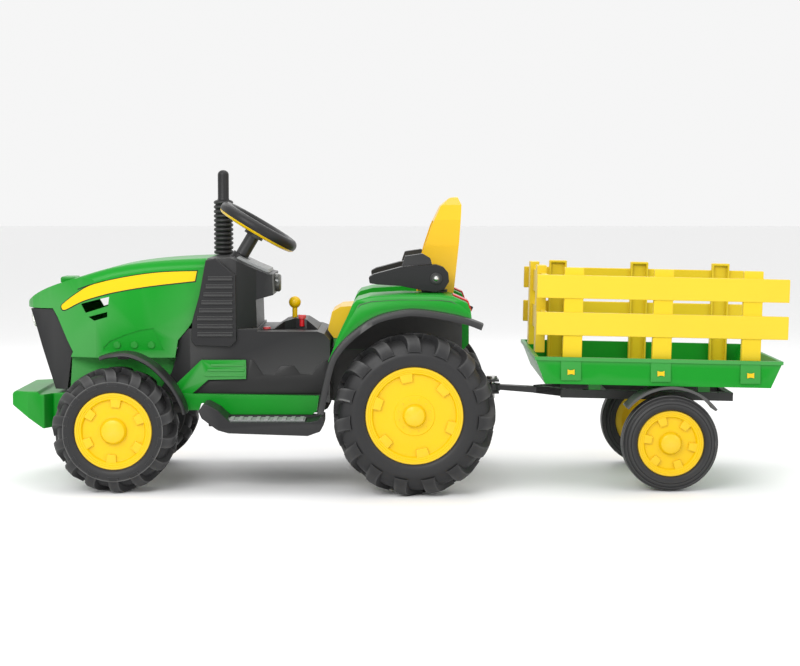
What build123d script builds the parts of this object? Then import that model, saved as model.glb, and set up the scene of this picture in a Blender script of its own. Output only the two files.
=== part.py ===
from build123d import *
import math
import os

# Ride-on battery tractor towing a two-wheeled stake-side trailer.
# Millimetres. -X is the tractor's front, +Z is up, Y = 0 is the centre plane and Z = 0 is the ground.

# ---- driving dimensions ----
BUMPER_FRONT_X = -900.0
REAR_WHEEL_X = 42.5
REAR_TYRE_R = 184.0
REAR_TYRE_W = 110.0
REAR_RIM_R = 110.0
REAR_OUTER_Y = 320.0
FRONT_WHEEL_X = -642.0
FRONT_TYRE_R = 143.0
FRONT_TYRE_W = 108.0
FRONT_RIM_R = 88.0
FRONT_OUTER_Y = 275.0
TRAILER_WHEEL_X = 630.0
TRAILER_TYRE_R = 111.0
TRAILER_TYRE_W = 70.0
TRAILER_RIM_R = 76.0
TRAILER_OUTER_Y = 245.0

AXLE_R = 6.0
RUNNING_GAP = 0.05
BODY_GAP = 0.4
WALL = 4.0
LUG_DEPTH = 12.0
REAR_LUGS = 15
FRONT_LUGS = 14
RIM_TABS = 6

HOOD_HALF_W = 140.0
NOSE_HALF_W = 80.0
HOOD_REAR_X = -437.0
HOOD_TOP_Z = 532.0
BODY_HALF_W = 150.0
UNDER_HOOD_HALF_W = 100.0
CONSOLE_TOP_Z = 362.0
CHASSIS_BOTTOM_Z = 150.0
BODY_REAR_X = 160.0

STEER_CENTRE = (-329.0, 0.0, 602.0)
STEER_TILT = 30.8
STEER_RIM_R = 88.0
STEER_TUBE_R = 15.0
COLUMN_R = 8.0
COLUMN_LENGTH = 250.0

KINGPIN_Y = 150.0
KINGPIN_R = 6.0
FRONT_BEAM_Z = 143.0
STEER_ARM_LENGTH = 60.0
TIE_ROD_R = 5.0

EXHAUST_Y = 112.0
EXHAUST_X = -424.0
BELLOWS_R = 24.0
BELLOWS_TOP_Z = 665.0
BELLOWS_RINGS = 14
PIPE_R = 13.0
PIPE_TOP_Z = 739.0

ARM_Y = 165.0
ARM_HALF_W = 22.0
ARM_PIVOT_X = 93.0
ARM_PIVOT_Z = 487.0
ARM_PIN_R = 5.0

HITCH_X = 232.0
HITCH_PIN_R = 7.0
HITCH_Z = 219.0
TRAILER_PITCH = 1.2
TRAY_HALF_W = 240.0
TRAY_FRONT_X = 313.5
TRAY_REAR_X = 880.0
TRAY_TOP_Z = 305.0
TRAY_DEPTH = 62.0
PANEL_RISE = 2.0
STAKE_OUTER_Y = 225.0
POST_W = 44.0
POST_T = 22.0
POST_SET = 4.0
POST_TOP_Z = 509.0
PLANK_H = 53.0
PLANK_T = 12.0
PLANK_REAR_X = 892.1
PLANK_Z = (380.0, 465.0)
POST_X = (400.0, 605.0, 809.5)


PEDAL_X = -372.0
PEDAL_Y = 208.0
PEDAL_Z = 182.0

LEVER_X = -243.0
LEVER_PIVOT_Z = 345.0
LEVER_BALL_Z = 421.0
LEVER_BALL_R = 14.5
LEVER_PIN_R = 3.0
SWITCH_X = -222.0
SWITCH_Y = -66.0
SWITCH_R = 6.0
BUTTON_X = -304.0
BUTTON_Y = -85.0
BUTTON_R = 9.0


# ---- shared shapes ----
def side_plate(points, y_low, y_high):
    """A closed outline in X and Z, extruded between two Y values."""
    plane = Plane((0, y_low, 0), x_dir=(1, 0, 0), z_dir=(0, -1, 0))
    face = plane * make_face(Polyline(*points, close=True))
    return extrude(face, y_high - y_low, dir=(0, 1, 0))


def block(x_low, x_high, y_low, y_high, z_low, z_high):
    """A box from its six limits."""
    centre = ((x_low + x_high) / 2, (y_low + y_high) / 2, (z_low + z_high) / 2)
    return Pos(*centre) * Box(x_high - x_low, y_high - y_low, z_high - z_low)


def rod_y(x, z, radius, y_low, y_high):
    """A cylinder along Y."""
    return Pos(x, (y_low + y_high) / 2, z) * Rot(90, 0, 0) * Cylinder(radius, y_high - y_low)


def rod_z(x, y, radius, z_low, z_high):
    """A cylinder along Z."""
    return Pos(x, y, (z_low + z_high) / 2) * Cylinder(radius, z_high - z_low)


def mirrored(shape):
    """The same shape on the other side of the centre plane."""
    return mirror(shape, about=Plane.XZ)


def arc_band(x, z, r_out, r_in, start, end, y_low, y_high):
    """A curved plate about a wheel: part of a ring between two angles, in degrees from +X."""
    ring = rod_y(x, z, r_out, y_low, y_high) - rod_y(x, z, r_in, y_low - 1, y_high + 1)
    reach = 2.5 * r_out
    middle = math.radians((start + end) / 2)
    low = math.radians(start)
    high = math.radians(end)
    wedge_points = [(x, z)]
    for angle in (low, (low + middle) / 2, middle, (middle + high) / 2, high):
        wedge_points.append((x + reach * math.cos(angle), z + reach * math.sin(angle)))
    return ring & side_plate(wedge_points, y_low - 2, y_high + 2)


def revolved_y(points):
    """A closed outline of (radius, y) points, turned about the Y axis."""
    outline = Plane.XY * make_face(Polyline(*points, close=True))
    return revolve(outline, Axis.Y, 360)


# ---- wheels ----
def lugged_tyre(radius, width, rim_r, lug_count):
    """A tractor tyre about the Y axis, centred on Y = 0, with staggered lugs on both shoulders."""
    half = width / 2
    carcass_r = radius - LUG_DEPTH
    carcass = revolved_y([
        (rim_r, -half + 8), (rim_r + 10, -half + 2), (rim_r + 26, -half + 2), (carcass_r - 22, -half + 7),
        (carcass_r - 5, -half + 16), (carcass_r, -half + 30), (carcass_r, half - 30), (carcass_r - 5, half - 16),
        (carcass_r - 22, half - 7), (rim_r + 26, half - 2), (rim_r + 10, half - 2), (rim_r, half - 8)])
    envelope = revolved_y([
        (carcass_r - 24, 0), (carcass_r - 24, half), (carcass_r - 10, half), (radius - 6, half - 6),
        (radius, half - 20), (radius, 0)])
    lug_w = 0.4 * 2 * math.pi * radius / lug_count
    bar_points = [(-0.2 * lug_w, half + 1), (0.8 * lug_w, half + 1), (1.9 * lug_w, 4), (1.2 * lug_w, 4)]
    bar = extrude(make_face(Polyline(*bar_points, close=True)), 60)
    bar = Pos(0, 0, carcass_r - 40) * bar
    lug = bar & envelope
    lugs = []
    step = 360 / lug_count
    for index in range(lug_count):
        lugs.append(Rot(0, index * step, 0) * lug)
        lugs.append(Rot(0, (index + 0.5) * step, 0) * mirror(lug, about=Plane.XZ))
    return carcass + lugs


def plain_tyre(radius, width, rim_r):
    """The trailer's smooth tyre with grooves around its shoulder and tread."""
    half = width / 2
    return revolved_y([
        (rim_r, -half + 6), (rim_r + 8, -half), (radius - 12, -half), (radius - 9, -half + 3),
        (radius - 6, -half + 2), (radius - 3, -half + 7), (radius, -half + 16), (radius, half - 16),
        (radius - 3, half - 7), (radius - 6, half - 2), (radius - 9, half - 3), (radius - 12, half),
        (rim_r + 8, half), (rim_r, half - 6)])


def rim(rim_r, width, cap_share, outer):
    """A dished wheel centre about the Y axis with raised tabs; outer is -1 or 1, its visible side."""
    half = width / 2
    bore_r = AXLE_R + RUNNING_GAP
    face_y = half - 15
    cap_r = cap_share * rim_r
    solid = revolved_y([
        (bore_r, -half + 12), (22, -half + 12), (22, face_y - 12), (rim_r - 16, face_y - 12),
        (rim_r - 16, -half + 8), (rim_r, -half + 8), (rim_r, half - 8), (rim_r - 5, half - 4),
        (rim_r - 9, half - 4), (rim_r - 12, face_y), (cap_r + 3, face_y), (cap_r, face_y + 7),
        (0.7 * cap_r, face_y + 11), (bore_r, face_y + 11)])
    tab_high = rim_r - 11
    tab_low = rim_r - 32
    tab_half = 0.13 * rim_r
    tab_points = [(-tab_half * 1.2, tab_high), (tab_half * 1.2, tab_high), (tab_half, tab_low), (-tab_half, tab_low)]
    tab_plane = Plane((0, face_y - 1, 0), x_dir=(1, 0, 0), z_dir=(0, -1, 0))
    tab = extrude(tab_plane * make_face(Polyline(*tab_points, close=True)), 6, dir=(0, 1, 0))
    tabs = []
    for index in range(RIM_TABS):
        tabs.append(Rot(0, index * 360 / RIM_TABS, 0) * tab)
    solid = solid + tabs
    if outer < 0:
        solid = mirror(solid, about=Plane.XZ)
    return solid


# ---- steering geometry ----
TILT = math.radians(STEER_TILT)
STEER_AXIS = (math.sin(TILT), 0.0, math.cos(TILT))
SHAFT_ARM = 25.0
SHAFT_LENGTH = (STEER_CENTRE[0] - (FRONT_WHEEL_X + STEER_ARM_LENGTH - SHAFT_ARM * math.cos(TILT))) / math.sin(TILT)
LINK_PIN_R = 4.0
LINK_EYE_R = 9.0
LINK_X = FRONT_WHEEL_X + STEER_ARM_LENGTH
STEER_PLANE = Plane(STEER_CENTRE, x_dir=(math.cos(TILT), 0, -math.sin(TILT)), z_dir=STEER_AXIS)
LINK_Z = STEER_CENTRE[2] - SHAFT_LENGTH * math.cos(TILT) - SHAFT_ARM * math.sin(TILT)


def column_space(extra):
    """The room that the steering shaft passes through."""
    return STEER_PLANE * Pos(0, 0, -SHAFT_LENGTH / 2) * Cylinder(COLUMN_R + extra, SHAFT_LENGTH + 80)


# ---- hood ----
def hood_body(inset):
    """The hood's outer form, or its inner one when inset is the wall."""
    half = HOOD_HALF_W - inset
    nose = NOSE_HALF_W - inset
    rear_x = HOOD_REAR_X + (60 if inset else 0)
    top = Spline((-876 + inset, 426), (-832, 455 - inset), (-759, 481.5 - inset), (-663, 510 - inset),
                 (-566, 525 - inset), (HOOD_REAR_X, HOOD_TOP_Z - inset))
    side = Polyline((HOOD_REAR_X, HOOD_TOP_Z - inset), (rear_x, 480), (rear_x - 21, 435), (rear_x - 31, 393),
                    (-484 + 8 * inset, 369), (-508 + 8 * inset, 341), (-515 + 8 * inset, 300 - 3 * inset),
                    (-762 + inset, 300 - 3 * inset), (-757 + inset, 312), (-772 + inset, 342),
                    (-794 + inset, 392), (-806 + inset, 413 + inset), (-876 + inset, 413 + inset),
                    (-876 + inset, 426))
    plane = Plane((0, half, 0), x_dir=(1, 0, 0), z_dir=(0, -1, 0))
    body = extrude(plane * make_face([top, side]), 2 * half, dir=(0, -1, 0))
    edges = body.edges().filter_by(lambda edge: edge.geom_type == GeomType.BSPLINE)
    body = fillet(edges, 26 - inset)
    near = [(-878 + inset, -nose + 54), (-869 + inset, -nose + 28), (-858 + inset, -nose + 8),
            (-838 + inset, -nose - 10), (-700, -half), (-300, -half)]
    far = [(x, -y) for x, y in reversed(near)]
    plan = make_face(Polyline(*near, *far, close=True))
    return body & extrude(Pos(0, 0, 150) * plan, 500)


def vent_cut():
    """Two slanted openings that go through both sides of the hood."""
    upper = side_plate([(-735, 425), (-698, 435), (-667, 442), (-670, 421), (-724, 404)], -160, 160)
    lower = side_plate([(-717, 395), (-672, 407), (-672, 395), (-703, 386)], -160, 160)
    return [upper, lower]


def hood_shell():
    """Green moulded hood with vents, an engine recess on each side and a nub on top."""
    shell = hood_body(0) - hood_body(WALL)
    cheek = side_plate([(-762, 300), (-515, 300), (-527, 264), (-560, 215), (-768, 215), (-763, 279)],
                       -UNDER_HOOD_HALF_W, UNDER_HOOD_HALF_W)
    cheek_hollow = side_plate([(-755, 310), (-521, 310), (-532, 264), (-563, 205), (-761, 205), (-757, 279)],
                              -UNDER_HOOD_HALF_W + WALL, UNDER_HOOD_HALF_W - WALL)
    floor_cut = block(-748, -524, -UNDER_HOOD_HALF_W + WALL, UNDER_HOOD_HALF_W - WALL, 280, 305)
    shell = shell + cheek - cheek_hollow - floor_cut
    shell = shell - vent_cut()
    recess_points = [(-681, 317.5), (-681, 324.5), (-667, 338.5), (-632, 353), (-597, 364), (-564, 369), (-555, 348),
                     (-541, 317.5)]
    for side in (-1, 1):
        recess = side_plate(recess_points, side * HOOD_HALF_W - 2, side * HOOD_HALF_W + 2)
        shell = shell - recess
        for knob_x in (-650, -610, -570):
            knob_ends = (side * (HOOD_HALF_W - WALL), side * (HOOD_HALF_W + 1))
            shell = shell + rod_y(knob_x, 330, 8, min(knob_ends), max(knob_ends))
    nub = fillet(block(-800, -764, -30, 30, 470, 484).edges().group_by(Axis.Z)[-1], 5)
    return shell + (nub - hood_body(WALL)) - column_space(8)


def front_grille():
    """Black nose insert that fills the hood's front opening, with a socket for each headlight."""
    outline = [(-863, 411), (-807.5, 411), (-796.5, 391), (-774.5, 342), (-761, 312), (-766.5, 279), (-774, 222),
               (-803, 222), (-828, 300), (-846, 359)]
    half = NOSE_HALF_W + 26
    solid = side_plate(outline, -half, half)
    plan = make_face(Polyline((-880, -66), (-858, -76), (-836, -88), (-756, -half), (-756, half), (-836, 88),
                              (-858, 76), (-880, 66), close=True))
    solid = solid & extrude(Pos(0, 0, 200) * plan, 230)
    inner = side_plate([(-846, 404), (-740, 404), (-740, 229), (-793, 229), (-831, 356)], -half + 34, half - 34)
    solid = solid - inner
    for level in range(6):
        z = 240 + level * 20
        x = -807 - (z - 225) * 0.31
        solid = solid - block(x - 12, x + 2, -60, 60, z, z + 8)
    return solid


def headlight_lenses():
    """Two clear lenses set on the nose."""
    lens = Pos(-854, 60, 384) * Rot(0, -14, 0) * Cylinder(18, 12, rotation=(0, 90, 0))
    lens = fillet(lens.edges().group_by(Axis.X)[0], 4)
    lens = lens - front_grille()
    return [lens, mirrored(lens)]


def front_weight():
    """Green front weight block, carried on the chassis nose."""
    outline = [(BUMPER_FRONT_X, 214), (-893, 220.5), (-838, 220.5), (-832, 213.5), (-776, 213.5), (-776, 160),
               (-806, 133), (-826, 133), (BUMPER_FRONT_X, 187)]
    solid = side_plate(outline, -140, 140)
    plan = make_face(Polyline((BUMPER_FRONT_X, -122), (-860, -140), (-822, -140), (-806, -110), (-770, -110),
                              (-770, 110), (-806, 110), (-822, 140), (-860, 140), (BUMPER_FRONT_X, 122), close=True))
    return solid & extrude(Pos(0, 0, 100) * plan, 160)


# ---- chassis, cowl and console ----
def chassis_shell():
    """Black lower body: a hollow moulding from behind the front wheels to the tail, with a battery tray."""
    wide = side_plate([(-558, 214), (-525.5, 264), (-513.5, 300), (-506.5, 340.6), (-482.6, 368), (-322, 368), (-322, CONSOLE_TOP_Z),
                       (-183, CONSOLE_TOP_Z), (-166, 356), (-153, 341), (-153, 196), (-470, 196)],
                      -BODY_HALF_W, BODY_HALF_W)
    wide_hollow = side_plate([(-536, 190), (-518, 264), (-507, 298), (-499, 336), (-480, 358), (-187, 356),
                              (-172, 350), (-159, 336), (-159, 190)], -BODY_HALF_W + WALL, BODY_HALF_W - WALL)
    nose = block(-768, -500, -95, 95, 165, 213)
    nose_hollow = block(-760, -490, -91, 91, 160, 205)
    tail_z = HITCH_Z + 17.2
    rear = side_plate([(-159, 196), (-159, 316), (BODY_REAR_X, 316), (BODY_REAR_X, tail_z), (98, tail_z), (80, 206),
                       (-120, 190)], -95, 95)
    rear_hollow = side_plate([(-165, 205), (-165, 310), (BODY_REAR_X - 5, 310), (BODY_REAR_X - 5, tail_z + 5),
                              (94, tail_z + 5), (76, 180), (-165, 180)], -91, 91)
    axle_boss = rod_y(REAR_WHEEL_X, REAR_TYRE_R, 18, -95, 95)
    hanger = block(REAR_WHEEL_X - 18, REAR_WHEEL_X + 18, -95, 95, REAR_TYRE_R, 218)
    hanger_gap = block(REAR_WHEEL_X - 40, REAR_WHEEL_X + 40, -60, 60, 100, 260)
    taper = make_face(Polyline((-560, -104), (-478, -BODY_HALF_W), (0, -BODY_HALF_W), (0, BODY_HALF_W),
                               (-478, BODY_HALF_W), (-560, 104), close=True))
    inner_taper = make_face(Polyline((-562, -98), (-480, -BODY_HALF_W + WALL), (0, -BODY_HALF_W + WALL),
                                     (0, BODY_HALF_W - WALL), (-480, BODY_HALF_W - WALL), (-562, 98), close=True))
    wide = wide & extrude(Pos(0, 0, 100) * taper, 300)
    wide_hollow = wide_hollow & extrude(Pos(0, 0, 100) * inner_taper, 300)
    shell = wide + nose + rear - wide_hollow - nose_hollow - rear_hollow
    shell = shell + (axle_boss + hanger - hanger_gap)
    shell = shell - rod_y(REAR_WHEEL_X, REAR_TYRE_R, AXLE_R, -110, 110)
    beam_slot = block(FRONT_WHEEL_X - 15, FRONT_WHEEL_X + 15, -100, 100, 100, 165)
    shell = shell - beam_slot - column_space(8)
    link_window = block(LINK_X - 40, LINK_X + 40, -80, 80, 160, 215)
    shell = shell - link_window
    lever_slot = block(-262, -224, -8, 8, 340, 380)
    shell = shell - lever_slot - block(-470, -334, -130, 130, 350, 372)
    for side in (-1, 1):
        y = side * 13
        shell = shell + block(LEVER_X - 8, LEVER_X + 8, y - 3, y + 3, LEVER_PIVOT_Z - 9, CONSOLE_TOP_Z - 3)
    shell = shell - rod_z(BUTTON_X, BUTTON_Y, BUTTON_R + BODY_GAP, 340, 364)
    return shell - rod_y(LEVER_X, LEVER_PIVOT_Z, LEVER_PIN_R, -18, 18)


def battery():
    """12 V battery, standing on the chassis nose."""
    return block(-742, -652, -76, 76, 213.3, 290) + block(-735, -715, -60, -40, 290, 298) + \
        block(-735, -715, 40, 60, 290, 298)


def side_grille():
    """Louvred black cover beside the dashboard, on the tractor's left."""
    outline = [(-440, 528), (-417.5, 533), (-371, 493), (-370, 341), (-384, 327), (-466, 330), (-475, 341), (-472, 388),
               (-455.5, 446)]
    low = BODY_HALF_W + 0.3
    plate = side_plate(outline, -low - 10, -low)
    plate = fillet(plate.edges().group_by(Axis.Y)[0], 2.5)
    slats = []
    for index in range(8):
        z = 352 + index * 18.5
        front = -464 + max(0.0, (z - 390) * 0.28)
        slats.append(block(front + 4, -378, -low - 15, -low - 9, z, z + 4))
        slats.append(side_plate([(front + 4, z), (-378, z), (-378, z + 9), (front + 4, z + 9)], -low - 12.5, -low - 9))
    return plate + slats


def dashboard_cowl():
    """Black cowl behind the hood; it carries the dash panel and the steering shaft's bearing."""
    half = BODY_HALF_W
    outline = [(-436.6, 532), (-382, 532), (-331, 507), (-303, 495), (-290, 492), (-288, 444), (-327, 434), (-325, 368.5),
               (-470, 368.5), (-467.5, 393), (-457.5, 435), (-436.6, 480)]
    inner = [(-430, 524), (-384, 524), (-333, 500), (-305, 489), (-297, 486), (-296, 450), (-334, 440), (-332, 360),
             (-463, 360), (-461, 393), (-451, 435), (-430, 478)]
    shell = side_plate(outline, -half, half)
    plan = make_face(Polyline((-500, -half), (-370, -half), (-326, -118), (-285, -105), (-285, 105), (-326, 118),
                              (-370, half), (-500, half), close=True))
    shell = shell & extrude(Pos(0, 0, 300) * plan, 260)
    inner_plan = make_face(Polyline((-500, -half + 5), (-373, -half + 5), (-328, -112), (-285, -98), (-285, 98),
                                    (-328, 112), (-373, half - 5), (-500, half - 5), close=True))
    hollow = side_plate(inner, -half, half) & extrude(Pos(0, 0, 300) * inner_plan, 260)
    shell = shell - hollow
    collar = STEER_PLANE * Pos(0, 0, -98) * Cylinder(22, 40)
    shell = shell + collar
    return shell - column_space(RUNNING_GAP) - rod_z(EXHAUST_X, EXHAUST_Y, 10, 500, 560)


def dash_panel():
    """Grey instrument panel on the cowl's sloping top, open around the shaft's collar."""
    outline = [(-376, 529.5), (-371, 533.5), (-331, 514.5), (-301, 502), (-299, 495.5), (-303, 495.5), (-331, 507.5)]
    panel = side_plate(outline, -78, 78)
    return panel - STEER_PLANE * Pos(0, 0, -90) * Cylinder(23, 120)


def gauge_dome():
    """Clear round cover on the cowl's rear face."""
    dome = Pos(-289, 0, 468) * Rot(0, 90, 0) * Cylinder(22, 14, align=(Align.CENTER, Align.CENTER, Align.MIN))
    dome = fillet(dome.edges().group_by(Axis.X)[-1], 7)
    return dome - dashboard_cowl()


def console_dome():
    """Raised dome on the console that guides the gear lever."""
    outline = [(-322, 362.3), (-286, 364), (-263, 380), (-237, 387), (-211, 384), (-184, 364), (-183, 362.3)]
    dome = side_plate(outline, -100, 100)
    plan = make_face(Polyline((-324, -100), (-286, -100), (-263, -72), (-237, -60), (-211, -72), (-183, -100),
                              (-183, 100), (-211, 72), (-237, 60), (-263, 72), (-286, 100), (-324, 100), close=True))
    dome = dome & extrude(Pos(0, 0, 350) * plan, 60)
    lever_slot = block(-262, -224, -8, 8, 350, 392)
    dome = dome - lever_slot
    dome = dome - rod_z(SWITCH_X, SWITCH_Y, SWITCH_R + BODY_GAP, 366, 395)
    return dome - rod_z(BUTTON_X, BUTTON_Y, BUTTON_R + BODY_GAP, 360, 372)


# ---- controls ----
def gear_lever():
    """Yellow gear lever: a hub on a cross pin, a stem and a ball."""
    stem = rod_z(LEVER_X, 0, 6, LEVER_PIVOT_Z + 5, LEVER_BALL_Z - 10)
    hub = rod_y(LEVER_X, LEVER_PIVOT_Z, 9, -7, 7)
    ball = Pos(LEVER_X, 0, LEVER_BALL_Z) * Rot(90, 0, 0) * Sphere(LEVER_BALL_R)
    return stem + hub + ball - rod_y(LEVER_X, LEVER_PIVOT_Z, LEVER_PIN_R + RUNNING_GAP, -10, 10)


def lever_pin():
    """Cross pin that carries the gear lever, held in the console's two ribs."""
    return rod_y(LEVER_X, LEVER_PIVOT_Z, LEVER_PIN_R, -18, 18)


def mode_switch():
    """Round mode switch with a pointer, standing in the console dome."""
    stem = rod_z(SWITCH_X, SWITCH_Y, SWITCH_R, 368, 386.3)
    cap = rod_z(SWITCH_X, SWITCH_Y, 9, 386.3, 392)
    return stem + cap + block(SWITCH_X - 9, SWITCH_X + 9, SWITCH_Y - 2, SWITCH_Y + 2, 392, 395)


def power_button():
    """Push button beside the dome."""
    return rod_z(BUTTON_X, BUTTON_Y, BUTTON_R, 357.5, 368)


# ---- side panels and steps ----
def upper_ribbed(side_low, side_high):
    """Green ribbed panel behind the front wheel."""
    solid = side_plate([(-452, 296), (-348, 296), (-348, 252), (-436, 250), (-474, 217), (-509, 217), (-511, 240)],
                       side_low, side_high)
    return solid


def lower_panel():
    """Green side panel on the tractor's left: ribbed upper step joined to the long lower panel."""
    low = -BODY_HALF_W
    upper = upper_ribbed(low - 10, low - 0.2)
    ribs = []
    for index in range(3):
        z = 258 + index * 12
        ribs.append(block(-445 + index * 8, -352, low - 12, low - 9, z, z + 5))
    lower = side_plate([(-508, 218), (-494, 180), (-457, 180), (-452, 196), (-440, 197), (-420, 186), (-396, 175),
                        (-380, 170), (-194, 170), (-183, 178), (-178, 213), (-474, 218)], low - 18, low - 0.2)
    return upper + lower + ribs


def step_bar():
    """Black step frame on the tractor's left, with a recess for the tread plate."""
    outline = [(-448, 188), (-438.5, 204), (-429, 204), (-404.5, 190.5), (-377, 164), (-195, 164), (-177, 168),
               (-170, 176), (-163, 176), (-163, 158), (-172, 142), (-200, 132), (-380, 138), (-405, 145), (-441, 172)]
    bar = side_plate(outline, -262, -BODY_HALF_W - 18.6)
    recess = block(-392, -205, -246, -BODY_HALF_W - 30, 160, 170)
    inner = side_plate([(-384, 152), (-205, 152), (-205, 145), (-384, 149)], -255, -BODY_HALF_W)
    return bar - recess - inner


def step_tread():
    """Grey tread plate lying in the step bar's recess."""
    plate = block(-390, -207, -244, -BODY_HALF_W - 32, 160, 166)
    ridges = []
    for index in range(9):
        x = -380 + index * 20
        ridges.append(block(x, x + 9, -240, -BODY_HALF_W - 36, 166, 168))
    return plate + ridges


# ---- rear body ----
FENDER_OUTLINE = [(-153, 302), (-132, 354.5), (-116, 389), (-97.5, 432), (-88, 442), (-59, 450), (10, 454),
                  (101, 453), (129, 450), (163, 435), (170, 412), (172, 396)]


def rear_fender():
    """Green fender on the tractor's left: a top deck that runs out over the rear tyre, with an inner wall."""
    inner = [(160, 396), (158, 410), (153, 427), (127, 441), (101, 444), (10, 445), (-56, 441), (-82, 434),
             (-88, 428), (-106, 386), (-122, 351), (-143, 302)]
    deck = side_plate(FENDER_OUTLINE + inner, -272, -100)
    wall_points = FENDER_OUTLINE[1:] + [(172, 330), (160, 316.4), (-140, 316.4)]
    wall = side_plate(wall_points, -104, -98.5)
    chamfer = extrude(Plane.YZ * make_face(Polyline((-275, 400), (-275, 470), (-235, 470), (-269, 438), close=True)),
                      400, both=True)
    return deck + wall - chamfer


def fender_flare():
    """Black flexible flare that runs round the fender's outer edge, on the tractor's left."""
    band = side_plate([(-166, 190), (-151, 255), (-138, 298), (-113, 333.5), (-79, 367), (-35, 396), (10, 408),
                       (55, 411), (122, 404), (166, 393), (196, 382), (198, 391), (167, 403), (122, 414), (55, 424),
                       (10, 422), (-46, 408), (-91, 378), (-125, 346), (-149, 310), (-164, 255), (-178, 190)],
                      -314, -272.3)
    return band


def tail_light():
    """Red lens let into the fender's rear corner, on the tractor's left."""
    lens = side_plate([(131, 453.4), (166, 438), (175, 413), (160, 413), (131, 436)], -213, -157)
    return lens - side_plate(FENDER_OUTLINE, -220, -150)


def seat_deck():
    """Green centre deck under the seat, joining the two fenders."""
    outline = [(-146, 316.4), (-146, 341), (-128, 341), (-110, 392), (120, 392), (150, 372), (160, 316.4)]
    inner = [(-140, 310), (-140, 335), (-123, 335), (-105, 386), (117, 386), (145, 369), (154, 310)]
    return side_plate(outline, -98.3, 98.3) - side_plate(inner, -93, 93)


def seat_shell():
    """Yellow bucket seat: a curved pan with a nose, side wings and a rounded backrest."""
    pan = side_plate([(-146, 342.5), (-160, 362), (-150, 404), (-130, 416), (-103, 418), (-20, 404), (60, 400),
                      (100, 424), (100, 392.4), (-112, 392.4), (-130, 342.5)], -96, 96)
    profile = [(100, 392.5), (64, 410), (50, 440), (56, 510), (68, 558), (84, 606), (106, 652), (128, 671),
               (146.5, 674), (155, 655), (154, 637), (149, 570), (137.5, 462), (126, 392.5)]
    back = side_plate(profile, -96, 96)
    outline = Plane.YZ * make_face(Polyline((-96, 380), (-96, 560), (-90, 620), (-70, 655), (-40, 672), (0, 678),
                                            (40, 672), (70, 655), (90, 620), (96, 560), (96, 380), close=True))
    back = back & extrude(outline, 400, both=True)
    hollow = side_plate([(70, 416), (78, 500), (92, 558), (108, 600), (60, 640), (-140, 560), (-100, 428), (-20, 413)],
                        -78, 78)
    return pan + back - hollow


# ---- armrests ----
def armrest():
    """Black armrest on the tractor's left, hinged at its rear end."""
    outline = [(-62, 490), (-60, 476), (-40, 473), (10, 470), (60, 460), (ARM_PIVOT_X, 456), (113, 463),
               (123, 480), (121, 500), (110, 513), (93, 519), (10, 513), (-50, 497)]
    arm = side_plate(outline, -ARM_Y - ARM_HALF_W, -ARM_Y + ARM_HALF_W)
    arm = fillet(arm.edges().filter_by(Axis.Y), 4)
    pad = side_plate([(14, 515), (22, 538), (62, 544), (80, 533), (84, 519)], -ARM_Y - 14, -ARM_Y + 14)
    arm = arm + pad
    return arm - rod_y(ARM_PIVOT_X, ARM_PIVOT_Z, ARM_PIN_R + RUNNING_GAP, -ARM_Y - 40, -ARM_Y + 40)


def armrest_bracket():
    """Upright that holds the armrest's pivot pin beside the seat."""
    ear = side_plate([(70, 453.6), (72, 490), (84, 502), (102, 502), (112, 490), (112, 453)],
                     -ARM_Y + ARM_HALF_W + 0.6, -ARM_Y + ARM_HALF_W + 12)
    foot = block(60, 120, -ARM_Y + ARM_HALF_W + 0.6, -ARM_Y + ARM_HALF_W + 30, 453.6, 459)
    pin = rod_y(ARM_PIVOT_X, ARM_PIVOT_Z, ARM_PIN_R, -ARM_Y - ARM_HALF_W - 1, -ARM_Y + ARM_HALF_W + 6)
    head = rod_y(ARM_PIVOT_X, ARM_PIVOT_Z, 9, -ARM_Y - ARM_HALF_W - 4, -ARM_Y - ARM_HALF_W - 0.6)
    return ear + foot + pin + head


# ---- exhaust ----
def exhaust_stack():
    """Black exhaust: a corrugated stack on the cowl's right shoulder and a pipe with a rounded tip."""
    base_z = 532.3
    step = (BELLOWS_TOP_Z - base_z) / BELLOWS_RINGS
    points = [(0, base_z)]
    for index in range(BELLOWS_RINGS):
        low = base_z + index * step
        points += [(BELLOWS_R - 4, low), (BELLOWS_R, low + 0.3 * step), (BELLOWS_R, low + 0.7 * step)]
    points += [(BELLOWS_R - 4, BELLOWS_TOP_Z), (0, BELLOWS_TOP_Z)]
    outline = Plane.XZ * make_face(Polyline(*points, close=True))
    bellows = Pos(EXHAUST_X, EXHAUST_Y, 0) * revolve(outline, Axis.Z, 360)
    pipe = rod_z(EXHAUST_X, EXHAUST_Y, PIPE_R, BELLOWS_TOP_Z - 1, PIPE_TOP_Z)
    pipe = fillet(pipe.edges().group_by(Axis.Z)[-1], 11)
    stub = rod_z(EXHAUST_X, EXHAUST_Y, 9.5, 524, base_z + 1)
    return bellows + pipe + stub


# ---- front end ----
def front_fender():
    """Black front fender on the tractor's left, with the arm that carries it on the axle beam."""
    outer = [(-676, 312), (-653, 320), (-615, 323), (-581, 313), (-547, 291), (-513, 255), (-495, 228), (-482, 200),
             (-477.5, 181)]
    inner = [(-484, 181), (-488, 200), (-501, 225), (-518, 250), (-551, 284), (-584, 305), (-615, 315), (-653, 312.5),
             (-675, 306)]
    plate = side_plate(outer + inner, -262, -176)
    bracket = block(-642, -616, -186, -HOOD_HALF_W - BODY_GAP, 300, 314)
    return plate + bracket


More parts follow.
